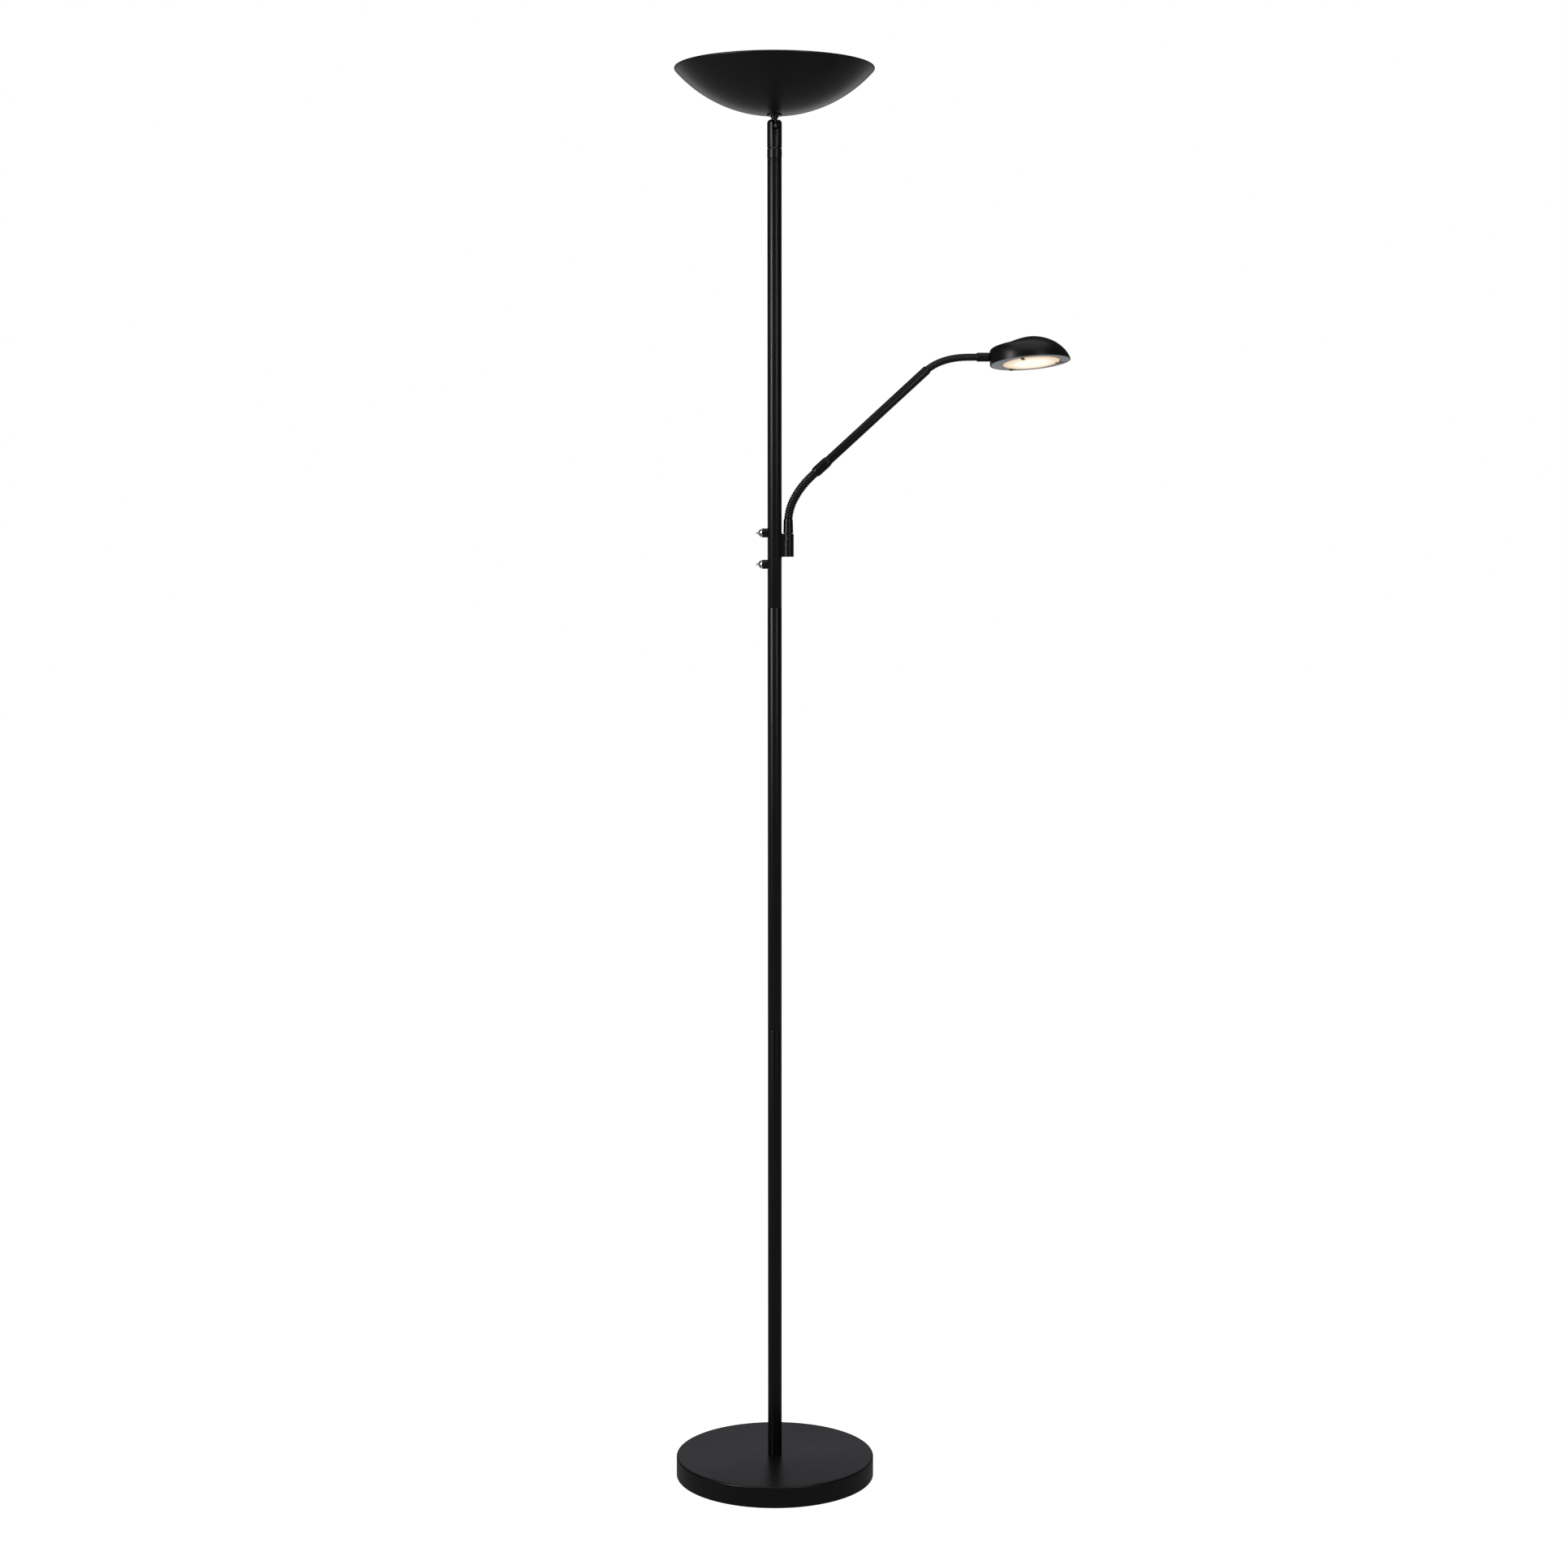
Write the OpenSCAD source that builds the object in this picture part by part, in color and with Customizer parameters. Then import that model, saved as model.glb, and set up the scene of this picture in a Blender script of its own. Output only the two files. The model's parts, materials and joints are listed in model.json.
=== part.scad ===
/* [Base] */
// Diameter of the round base
base_d = 256; // [200:1:320]
// Height of the base above the floor
base_h = 28; // [24:1:40]
// Thickness of the pad under the base
pad_t = 2; // [1:0.5:3]
// Wall of the pressed steel cover
cover_t = 1.2; // [0.8:0.1:2]
// Rounding of the cover's top edge
cover_edge_r = 2.4; // [1.5:0.1:4]
// Height of the cord gland's centre above the floor
gland_z = 11; // [9:0.5:14]

/* [Pole] */
// Outside diameter of the pole
pole_d = 18; // [15:0.5:22]
// Wall of the pole tubes
pole_wall = 1; // [0.8:0.1:1.4]
// Height of the lower screwed joint
seam_low_z = 586.7; // [450:1:700]
// Height of the upper screwed joint
seam_high_z = 1127.5; // [950:1:1165]
// Height of the top of the pole
pole_top_z = 1686.6; // [1400:0.1:2030]
// Length of each inner coupler
coupler_len = 44; // [30:1:60]
// Height of the swivel ring on top of the pole
ring_h = 13; // [8:0.5:20]

/* [Knuckle] */
// Diameter of the fork and of the swivel ring
fork_d = 18.4; // [17:0.1:24]
// Height of the fork
fork_h = 35.2; // [30:0.1:42]
// Width of the slot in the fork
fork_slot = 8.8; // [8.6:0.1:11]
// Depth of the pivot below the fork's top
pivot_drop = 7.3; // [6:0.1:9]
// Turn of the whole knuckle about the pole
knuckle_turn = 10; // [-90:1:90]
// Diameter of the pivot pin
pin_d = 4; // [3:0.5:5]
// Side clearance between tongue and fork
tongue_gap = 0.4; // [0.3:0.05:0.8]

/* [Bowl] */
// Diameter of the bowl at its rim
bowl_d = 250; // [200:1:300]
// Depth of the bowl's round part
bowl_depth = 55.8; // [46:0.1:70]
// Wall of the bowl
bowl_t = 1.2; // [0.8:0.1:2]
// Height of the upright lip of the bowl
bowl_lip_h = 2.2; // [1:0.1:5]
// Depth of the reflector plate below the lip
plate_drop = 21; // [15:0.5:26]
// Diameter of the opal cover
diffuser_d = 152; // [120:1:160]
// Height of the opal cover
diffuser_h = 12; // [8:0.5:14]

/* [Dimmers] */
// Height of the upper dimmer
dimmer_high_z = 1221.9; // [1190:0.1:1300]
// Height of the lower dimmer
dimmer_low_z = 1182.4; // [1150:0.1:1189]
// Diameter of a dimmer's barrel
barrel_d = 11.5; // [9:0.1:14]
// Distance from the pole's axis to the barrel's end
barrel_reach = 16; // [13:0.1:20]
// Diameter of a dimmer's spindle
spindle_d = 3; // [2.5:0.1:4]

/* [Arm] */
// Distance between the pole's axis and the arm's swivel axis
arm_x = 17.2; // [16.8:0.1:24]
// Height of the bracket's underside
bracket_z = 1191.8; // [1191.5:0.1:1210]
// Height of the bracket
bracket_h = 29.1; // [26:0.1:36]
// Diameter of the bracket's socket
bracket_d = 14; // [13.5:0.1:15]
// Diameter of the ferrule above the bracket
ferrule_d = 12.5; // [11.5:0.1:14]
// Length of the ferrule above the bracket
ferrule_h = 18.1; // [12:0.1:24]
// Diameter of the straight arm tube
tube_d = 11.4; // [11:0.1:14]
// Length of the arm between its two flexible necks
tube_len = 192.6; // [140:0.1:240]
// Slope of the arm tube
tube_slope = 42.5; // [30:0.5:60]
// Wall of the sleeve around the lower end of the tube
sleeve_wall = 1; // [0.8:0.1:2]

/* [Necks] */
// Length of one link of the lower neck
low_link_len = 13.35; // [11.1:0.05:16.1]
// Length of one link of the upper neck
high_link_len = 10.5; // [8.8:0.05:12.6]
// Running gap between a link's ball and the next link's cup
ball_gap = 0.1; // [0.08:0.01:0.15]

/* [Reading head] */
// Length of the head
head_len = 102; // [95:1:120]
// Width of the head
head_w = 88; // [84:1:100]
// Wall of the head's shell
head_t = 1.6; // [1.2:0.1:2.2]
// Upward slope of the head
head_pitch = 4.2; // [0:0.1:15]
// Roll that shows the head's underside from the front
head_roll = 8.5; // [0:0.1:20]
// Diameter of the head's diffuser disc
lens_d = 71; // [60:1:72]

/* [Hidden] */
$fn = 64;
black = [0.06, 0.06, 0.065];
steel = [0.62, 0.63, 0.65];
brass = [0.78, 0.66, 0.35];
chrome = [0.85, 0.86, 0.88];
white = [0.93, 0.93, 0.92];
opal = [0.98, 0.95, 0.88];
iron = [0.25, 0.25, 0.26];
run_gap = 0.05;
base_r = base_d / 2;
pole_r = pole_d / 2;
tube_in_r = pole_r - pole_wall;
weight_r = base_r - cover_t - 1.5;
weight_top_z = base_h - cover_t;
pad_r = base_r - 4;
nipple_r = 5;
nipple_bore_r = 3.5;
recess_r = 14;
recess_top_z = pad_t + 10;
gland_r = 4.8;
wire_r = 1.6;
coupler_bore_r = tube_in_r - 1.2;
wire_x = coupler_bore_r - wire_r - 0.4;
module_x = 0.6875 * tube_in_r;
module_y = 0.625 * tube_in_r;
fork_r = fork_d / 2;
swivel_r = max(fork_r, pole_r + 0.2);
fork_z = pole_top_z + ring_h;
fork_edge_r = 4.5;
fork_top_z = fork_z + fork_h;
pivot_z = fork_top_z - pivot_drop;
prong_r = 8.6;
slot_r = fork_slot / 2;
tongue_t = fork_slot - 2 * tongue_gap;
tongue_r = 5.7;
spigot_r = 5.5;
spigot_len = 10.5;
snap_z = fork_z + 7;
stem_r = 3.75;
collar_z = pivot_z + prong_r + 0.5;
collar_r = 4.75;
flange_z = collar_z + 2.7;
flange_t = 1.2;
flange_r = 9.7;
bowl_z = flange_z + flange_t;
bowl_r = bowl_d / 2;
bowl_round_r = (pow(bowl_r, 2) + pow(bowl_depth, 2)) / (2 * bowl_depth);
rim_z = bowl_z + bowl_depth + bowl_lip_h;
stud_r = 4;
tray_r = 46;
boss_r = 8;
boss_z = bowl_z + bowl_t + bowl_rise(boss_r);
tray_z = bowl_z + bowl_t + bowl_rise(tray_r) + 1.8;
plate_z = rim_z - plate_drop;
plate_t = 1.2;
plate_lift = bowl_round_r + bowl_z - plate_z;
plate_r = sqrt(pow(bowl_round_r - bowl_t, 2) - pow(plate_lift, 2)) - 0.5;
post_r = 40;
driver_h = 0.55 * (plate_z - tray_z);
diffuser_r = diffuser_d / 2;
barrel_r = barrel_d / 2;
spindle_r = spindle_d / 2;
knob_gap = 0.3;
bracket_r = bracket_d / 2;
bracket_top_z = bracket_z + bracket_h;
socket_r = 4.7;
ferrule_r = ferrule_d / 2;
ferrule_gap = 0.3;
grub_z = bracket_top_z - 6.3;
tube_r = tube_d / 2;
sleeve_r = tube_r + sleeve_wall;
sleeve_len = 24.8;
end_drop = 1;
cup_lift = 0.75;
// slope of each link at rest
low_dirs = [79.8, 66.2, 57.8, 50.6, 43.6];
high_dirs = [32.5, 22.9, 15.1, 8.4, 2.8, 0.3];
// ring radius, ring thickness radius, floor radius, ball radius, bore radius, ring gap at a joint
low_shape = [4.5, 0.9, 3.95, 3.3, 1.9, 3.75];
high_shape = [3.85, 0.76, 3.35, 2.75, 1.4, 3.24];
low_start = [arm_x, 0, bracket_top_z + ferrule_h + ferrule_gap + end_drop];
low_end = chain(low_start, low_dirs, low_link_len, len(low_dirs));
high_start = low_end + (tube_len + end_drop) * along(tube_slope);
high_end = chain(high_start, high_dirs, high_link_len, len(high_dirs));
head_ferrule_len = 16.6;
head_ferrule_r = 5.65;
head_rise = 10.8;
head_a = head_len / 2;
head_b = head_w / 2;
head_x = high_end[0] + head_ferrule_len;
head_shift = [
    head_a * cos(head_pitch) + head_rise * cos(head_roll) * sin(head_pitch),
    -head_rise * sin(head_roll),
    head_a * sin(head_pitch) - head_rise * cos(head_roll) * cos(head_pitch)
];
head_pos = [head_x, 0, high_end[2]] + head_shift;
lens_x = 1.5;
lens_y = 2;
lens_r = lens_d / 2;
ring_hole_r = lens_r + 0.1;
ring_t = 1.2;
board_z = 8;
head_screw_x = [head_a - 12.8, head_a - 7.2];
head_screw_y = 13.5;
// height, left reach, right reach and half width of the head's outline, as parts of its size
head_levels = [
    [0, 1, 1, 1],
    [2, 1, 1, 1],
    [6.5, 1, 0.958, 0.988],
    [11, 0.998, 0.904, 0.96],
    [15.5, 0.992, 0.83, 0.912],
    [19, 0.972, 0.757, 0.852],
    [21.6, 0.885, 0.69, 0.785],
    [23.4, 0.7, 0.63, 0.72],
    [25.2, 0.565, 0.57, 0.65],
    [27.5, 0.435, 0.475, 0.56],
    [29.4, 0.3, 0.35, 0.44],
    [31, 0.14, 0.21, 0.27],
    [31.6, 0.02, 0.12, 0.11]
];
head_sides = 32;

function bowl_rise(r) =
    bowl_round_r - bowl_t - sqrt(pow(bowl_round_r - bowl_t, 2) - pow(r, 2));
function along(a) = [cos(a), 0, sin(a)];
function chain(p, dirs, len, k) =
    k == 0 ? p : chain(p, dirs, len, k - 1) + len * along(dirs[k - 1]);
function oval(a, b, xc) = [
    for (i = [0 : head_sides - 1])
        [xc + a * cos(360 * i / head_sides), b * sin(360 * i / head_sides)]
];

// ---------- helpers ----------

module pipe(z0, z1, r_out, r_in) {
    translate([0, 0, z0]) difference() {
        cylinder(h = z1 - z0, r = r_out);
        translate([0, 0, -1]) cylinder(h = z1 - z0 + 2, r = r_in);
    }
}

module at_pivot() {
    translate([0, 0, pivot_z]) rotate([0, 0, knuckle_turn]) children();
}

module aim(p, a) {
    translate(p) rotate([0, 90 - a, 0]) children();
}

module in_head() {
    translate(head_pos) rotate([-head_roll, -head_pitch, 0]) children();
}

module neck_link(shape, len) {
    first = shape[5] / 2;
    pitch = (len - shape[5]) / 3;
    rotate_extrude() difference() {
        union() {
            translate([0, cup_lift]) square([shape[2], len - cup_lift - end_drop]);
            intersection() {
                translate([0, len]) circle(r = shape[3]);
                translate([0, len - end_drop - 0.5]) square([shape[3] + 1, shape[3] + 2]);
            }
            for (i = [0 : 3]) translate([shape[0], first + i * pitch]) circle(r = shape[1]);
        }
        intersection() {
            circle(r = shape[3] + ball_gap);
            square([shape[3] + 1, shape[3] + 1]);
        }
        translate([-1, -1]) square([1 + shape[4], len + shape[3] + 3]);
    }
}

module ball_end(shape, z) {
    translate([0, 0, z]) intersection() {
        sphere(r = shape[3]);
        translate([0, 0, -end_drop - 1]) cylinder(h = shape[3] + end_drop + 2, r = shape[3] + 1);
    }
}

module low_link(k) {
    aim(chain(low_start, low_dirs, low_link_len, k - 1), low_dirs[k - 1])
        neck_link(low_shape, low_link_len);
}

module high_link(k) {
    aim(chain(high_start, high_dirs, high_link_len, k - 1), high_dirs[k - 1])
        neck_link(high_shape, high_link_len);
}

module barrel(z) {
    translate([0, 0, z]) difference() {
        union() {
            difference() {
                rotate([0, -90, 0]) cylinder(h = barrel_reach, r = barrel_r);
                translate([0, 0, -barrel_r - 1]) cylinder(h = barrel_d + 2, r = pole_r);
            }
            translate([-pole_r - 1, 0, 0]) rotate([0, 90, 0])
                cylinder(h = pole_r + 1 - module_x, r = 3.4);
        }
        translate([-barrel_reach - 1, 0, 0]) rotate([0, 90, 0])
            cylinder(h = barrel_reach, r = spindle_r + run_gap);
    }
}

module knob(z) {
    knob_r = barrel_r - 0.5;
    dome_h = 4.4;
    ball_r = (pow(knob_r, 2) + pow(dome_h, 2)) / (2 * dome_h);
    translate([-barrel_reach - knob_gap, 0, z]) rotate([0, -90, 0]) union() {
        intersection() {
            translate([0, 0, dome_h - ball_r]) sphere(r = ball_r);
            cylinder(h = dome_h + 1, r = knob_r + 1);
        }
        cylinder(h = dome_h + 1.8, r = 1.75);
        translate([0, 0, dome_h + 1.8]) intersection() {
            sphere(r = 1.75);
            cylinder(h = 1.2, r = 3);
        }
        translate([0, 0, module_x - 1.5 - barrel_reach])
            cylinder(h = barrel_reach - module_x + 2.5, r = spindle_r);
    }
}

module head_solid(inset) {
    n = head_sides;
    m = len(head_levels);
    pts = [
        for (v = head_levels) let (
            l = v[1] * head_a - inset,
            r = v[2] * head_a - inset,
            a = max((l + r) / 2, 0.5),
            z = v[0] * (1 - inset / 32)
        ) for (p = oval(a, max(v[3] * head_b - inset, 0.5), (r - l) / 2)) [p[0], p[1], z]
    ];
    sides = [
        for (k = [0 : m - 2]) for (i = [0 : n - 1]) let (
            a = k * n + i,
            b = k * n + (i + 1) % n
        ) each [[a, a + n, b + n], [a, b + n, b]]
    ];
    polyhedron(
        points = pts,
        faces = concat(
            [[for (i = [0 : n - 1]) i]],
            sides,
            [[for (i = [0 : n - 1]) m * n - 1 - i]]
        ),
        convexity = 4
    );
}

// ---------- base ----------

module base_pad() {
    color([0.12, 0.12, 0.12]) cylinder(h = pad_t, r = pad_r);
}

module base_weight() {
    color(iron) difference() {
        translate([0, 0, pad_t]) cylinder(h = weight_top_z - pad_t, r = weight_r);
        translate([0, 0, pad_t - 1]) cylinder(h = recess_top_z - pad_t + 1, r = recess_r);
        translate([0, 0, pad_t]) cylinder(h = base_h, r = nipple_r + 0.3);
        translate([-gland_r - 2.2, 0, pad_t - 1])
            cube([2 * gland_r + 4.4, base_r, gland_z + gland_r + 3.5 - pad_t]);
    }
}

module base_cover() {
    edge_in_r = max(cover_edge_r - cover_t, 0.3);
    color(black) difference() {
        rotate_extrude() union() {
            translate([0, pad_t / 2]) square([base_r, base_h - cover_edge_r - pad_t / 2]);
            translate([0, pad_t / 2]) square([base_r - cover_edge_r, base_h - pad_t / 2]);
            intersection() {
                translate([base_r - cover_edge_r, base_h - cover_edge_r]) circle(r = cover_edge_r);
                translate([0, pad_t]) square([base_r, base_h]);
            }
        }
        rotate_extrude() union() {
            translate([0, -1]) square([base_r - cover_t, weight_top_z - edge_in_r + 1]);
            translate([0, -1]) square([base_r - cover_t - edge_in_r, weight_top_z + 1]);
            translate([base_r - cover_t - edge_in_r, weight_top_z - edge_in_r])
                circle(r = edge_in_r);
        }
        translate([0, 0, base_h - 5]) cylinder(h = 10, r = nipple_r + 0.3);
        translate([0, base_r - 6, gland_z]) rotate([-90, 0, 0]) cylinder(h = 12, r = gland_r);
    }
}

module base_nipple() {
    color(brass) pipe(pad_t + 1, base_h + 36, nipple_r, nipple_bore_r);
}

module base_washer() {
    color(steel) pipe(recess_top_z - 1.5, recess_top_z, recess_r - 2, nipple_r);
}

module base_nut() {
    color(steel) translate([0, 0, recess_top_z - 7]) difference() {
        cylinder(h = 5.5, r = 9.8, $fn = 6);
        translate([0, 0, -1]) cylinder(h = 8, r = nipple_r);
    }
}

module cord_gland() {
    color(black) translate([0, base_r, gland_z]) rotate([-90, 0, 0]) difference() {
        union() {
            translate([0, 0, -6]) cylinder(h = 6.5, r = gland_r);
            translate([0, 0, 0.2]) cylinder(h = 1.3, r = gland_r + 1.2);
            translate([0, 0, -cover_t - 2.2]) cylinder(h = 1.7, r = gland_r + 1);
        }
        translate([0, 0, -8]) cylinder(h = 12, r = 3.5);
    }
}

// ---------- pole ----------

module pole_foot_insert() {
    color(steel) pipe(base_h, base_h + 34, tube_in_r, nipple_r);
}

module lower_pole_tube() {
    color(black) pipe(base_h, seam_low_z, pole_r, tube_in_r);
}

module lower_pole_coupler() {
    color(steel)
        pipe(seam_low_z - coupler_len / 2, seam_low_z + coupler_len / 2, tube_in_r, coupler_bore_r);
}

module middle_pole_tube() {
    color(black) pipe(seam_low_z, seam_high_z, pole_r, tube_in_r);
}

module upper_pole_coupler() {
    color(steel)
        pipe(seam_high_z - coupler_len / 2, seam_high_z + coupler_len / 2, tube_in_r, coupler_bore_r);
}

module upper_pole_tube() {
    color(black) difference() {
        pipe(seam_high_z, pole_top_z, pole_r, tube_in_r);
        for (z = [dimmer_low_z, dimmer_high_z])
            translate([0, 0, z]) rotate([0, -90, 0]) cylinder(h = pole_d, r = 3.4);
        translate([0, 0, bracket_z + 4]) rotate([0, 90, 0]) cylinder(h = pole_d, r = 1.6);
    }
}

module pole_top_insert() {
    color(steel) difference() {
        union() {
            translate([0, 0, pole_top_z - 24]) cylinder(h = 24, r = tube_in_r);
            translate([0, 0, pole_top_z - 1]) cylinder(h = ring_h + spigot_len + 1, r = spigot_r);
        }
        translate([0, 0, pole_top_z - 25]) cylinder(h = 60, r = 2.4);
        pipe(snap_z, snap_z + 1, spigot_r + 1, spigot_r - 0.7);
    }
}

module swivel_ring() {
    color(black) difference() {
        rotate_extrude() polygon([
            [spigot_r, pole_top_z], [swivel_r - 0.4, pole_top_z], [swivel_r, pole_top_z + 0.4],
            [swivel_r, fork_z - 0.7], [swivel_r - 0.4, fork_z - 0.3], [spigot_r, fork_z - 0.3]
        ]);
    }
}

module swivel_snap_ring() {
    color(steel) difference() {
        pipe(snap_z, snap_z + 1, spigot_r + 0.8, spigot_r - 0.7);
        translate([0, -1.2, snap_z - 1]) cube([10, 2.4, 3]);
    }
}

module pole_wiring() {
    jog_z = base_h + 60;
    jog_h = 24;
    elbow_r = wire_r + 0.12;
    color([0.75, 0.1, 0.1]) union() {
        translate([0, 0, pad_t + 2]) cylinder(h = jog_z - pad_t - 2, r = wire_r);
        translate([0, 0, jog_z]) sphere(r = elbow_r);
        translate([0, 0, jog_z]) rotate([0, atan(wire_x / jog_h), 0])
            cylinder(h = sqrt(pow(wire_x, 2) + pow(jog_h, 2)), r = wire_r);
        translate([wire_x, 0, jog_z + jog_h]) sphere(r = elbow_r);
        translate([wire_x, 0, jog_z + jog_h])
            cylinder(h = pole_top_z - 40 - jog_z - jog_h, r = wire_r);
    }
}

module dimmer_modules() {
    color([0.1, 0.25, 0.15]) for (z = [dimmer_low_z, dimmer_high_z]) difference() {
        translate([-module_x, -module_y, z - 6])
            cube([module_x + wire_x - wire_r - 1, 2 * module_y, 12]);
        translate([-module_x - 1, 0, z]) rotate([0, 90, 0])
            cylinder(h = 4, r = spindle_r + run_gap);
    }
}

module dimmer_barrels() {
    color(black) for (z = [dimmer_low_z, dimmer_high_z]) barrel(z);
}

// ---------- knuckle ----------

module knuckle_fork() {
    color(black) translate([0, 0, fork_z]) rotate([0, 0, knuckle_turn]) difference() {
        intersection() {
            rotate_extrude() union() {
                translate([0, 0.3]) square([fork_r - 0.3, 1]);
                translate([0, 0.6]) square([fork_r, fork_h - fork_edge_r - 0.6]);
                square([fork_r - fork_edge_r, fork_h]);
                translate([0, fork_h - fork_edge_r]) intersection() {
                    translate([fork_r - fork_edge_r, 0]) circle(r = fork_edge_r);
                    square([fork_r, fork_edge_r]);
                }
            }
            union() {
                translate([-fork_d, -fork_d, -1])
                    cube([2 * fork_d, 2 * fork_d, fork_h - pivot_drop + 1]);
                translate([-fork_d, 0, fork_h - pivot_drop]) rotate([0, 90, 0])
                    cylinder(h = 2 * fork_d, r = prong_r);
            }
        }
        translate([-slot_r, -fork_d, fork_h - pivot_drop - tongue_r + slot_r - 0.8])
            cube([fork_slot, 2 * fork_d, fork_h]);
        translate([0, fork_d, fork_h - pivot_drop - tongue_r + slot_r - 0.8]) rotate([90, 0, 0])
            cylinder(h = 2 * fork_d, r = slot_r);
        translate([-fork_d, 0, fork_h - pivot_drop]) rotate([0, 90, 0])
            cylinder(h = 2 * fork_d, r = pin_d / 2);
        translate([0, 0, -1]) cylinder(h = spigot_len + 1.5, r = spigot_r + run_gap);
        translate([0, 0, 6.7]) cylinder(h = 1.6, r = spigot_r + 1.1);
        translate([0, 0, -1]) cylinder(h = fork_h - 4, r = 2.4);
    }
}

module knuckle_pin() {
    color(steel) at_pivot() translate([-fork_r + 1.2, 0, 0]) rotate([0, 90, 0])
        cylinder(h = fork_d - 2.4, r = pin_d / 2);
}

// ---------- uplight ----------

module knuckle_tongue() {
    color(steel) at_pivot() difference() {
        union() {
            rotate([0, 90, 0]) rotate_extrude() intersection() {
                translate([0, -tongue_t / 2]) square([tongue_r, tongue_t]);
                union() {
                    translate([0, -tongue_t / 2]) square([tongue_r - tongue_t / 2, tongue_t]);
                    translate([tongue_r - tongue_t / 2, 0]) circle(r = tongue_t / 2);
                }
            }
            cylinder(h = 10, r = stem_r);
            translate([0, 0, collar_z - pivot_z]) cylinder(h = flange_z - collar_z, r = collar_r);
            translate([0, 0, 10]) cylinder(h = tray_z + 8 - pivot_z - 10, r = stud_r);
        }
        translate([-fork_d, 0, 0]) rotate([0, 90, 0])
            cylinder(h = 2 * fork_d, r = pin_d / 2 + run_gap);
        translate([0, 0, 6]) cylinder(h = 40, r = 1.7);
        translate([0, 0, 6]) rotate([-90, 0, 0]) cylinder(h = 10, r = 1.5);
    }
}

module bowl_flange() {
    color(black) pipe(flange_z, bowl_z, flange_r, stud_r);
}

module bowl() {
    color(black) difference() {
        union() {
            intersection() {
                translate([0, 0, bowl_z + bowl_round_r]) sphere(r = bowl_round_r);
                translate([0, 0, bowl_z]) cylinder(h = bowl_depth, r = bowl_round_r);
            }
            translate([0, 0, bowl_z + bowl_depth]) cylinder(h = bowl_lip_h, r = bowl_r);
        }
        intersection() {
            translate([0, 0, bowl_z + bowl_round_r]) sphere(r = bowl_round_r - bowl_t);
            translate([0, 0, bowl_z]) cylinder(h = bowl_depth + bowl_lip_h / 2, r = bowl_r - bowl_t);
        }
        translate([0, 0, bowl_z + bowl_depth - 1]) cylinder(h = bowl_lip_h + 2, r = bowl_r - bowl_t);
        translate([0, 0, bowl_z - 1]) cylinder(h = 10, r = stud_r);
    }
}

module bowl_nut() {
    color(steel) translate([0, 0, tray_z + 1]) difference() {
        cylinder(h = 5, r = 7.5, $fn = 6);
        translate([0, 0, -1]) cylinder(h = 8, r = stud_r);
    }
}

module driver_tray() {
    color(steel) difference() {
        union() {
            translate([0, 0, tray_z]) cylinder(h = 1, r = tray_r);
            translate([0, 0, boss_z]) cylinder(h = tray_z - boss_z + 0.5, r = boss_r);
            for (a = [30, 150, 270]) rotate([0, 0, a]) translate([post_r, 0, tray_z])
                cylinder(h = plate_z - tray_z, r = 3);
        }
        translate([0, 0, bowl_z]) cylinder(h = 20, r = stud_r);
        for (a = [30, 150, 270]) rotate([0, 0, a]) translate([post_r, 0, plate_z - 9])
            cylinder(h = 12, r = 1.5);
    }
}

module led_driver() {
    color(white) translate([-22, 11, tray_z + 1]) cube([44, 26, driver_h]);
}

module reflector_plate() {
    color(white) difference() {
        translate([0, 0, plate_z]) cylinder(h = plate_t, r = plate_r);
        for (a = [30, 150, 270]) rotate([0, 0, a]) translate([post_r, 0, plate_z - 1])
            cylinder(h = 4, r = 1.5);
        translate([0, -22, plate_z - 1]) cylinder(h = 4, r = 4);
    }
}

module led_board() {
    color([0.9, 0.92, 0.9]) union() {
        pipe(plate_z + plate_t, plate_z + plate_t + 1.4, diffuser_r - 6, 46);
        for (i = [0 : 23]) rotate([0, 0, 15 * i])
            translate([(diffuser_r + 40) / 2 - 1.4, -1.4, plate_z + plate_t + 1])
                cube([2.8, 2.8, 1.1]);
    }
}

module diffuser() {
    z0 = plate_z + plate_t;
    color(opal) difference() {
        rotate_extrude() union() {
            translate([0, z0]) square([diffuser_r, diffuser_h - 4]);
            translate([0, z0]) square([diffuser_r - 4, diffuser_h]);
            intersection() {
                translate([diffuser_r - 4, z0 + diffuser_h - 4]) circle(r = 4);
                translate([0, z0 + diffuser_h - 4]) square([diffuser_r, 5]);
            }
        }
        translate([0, 0, z0 - 1]) cylinder(h = diffuser_h - 0.6, r = diffuser_r - 1.6);
    }
}

module diffuser_clips() {
    z0 = plate_z + plate_t;
    color(steel) for (a = [90, 210, 330]) rotate([0, 0, a]) difference() {
        union() {
            translate([diffuser_r, -4, z0]) cube([1, 8, diffuser_h - 2]);
            translate([diffuser_r, -4, z0]) cube([7, 8, 0.8]);
        }
        translate([diffuser_r + 4.2, 0, z0 - 1]) cylinder(h = 3, r = 1);
    }
}

module plate_screws() {
    color(steel) for (a = [30, 150, 270]) rotate([0, 0, a])
        translate([post_r, 0, plate_z + plate_t]) union() {
            cylinder(h = 1.6, r = 3);
            translate([0, 0, -9]) cylinder(h = 9.5, r = 1.5);
        }
}

// ---------- dimmer knobs ----------

module upper_knob() {
    color(chrome) knob(dimmer_high_z);
}

module lower_knob() {
    color(chrome) knob(dimmer_low_z);
}

// ---------- reading arm ----------

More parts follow.
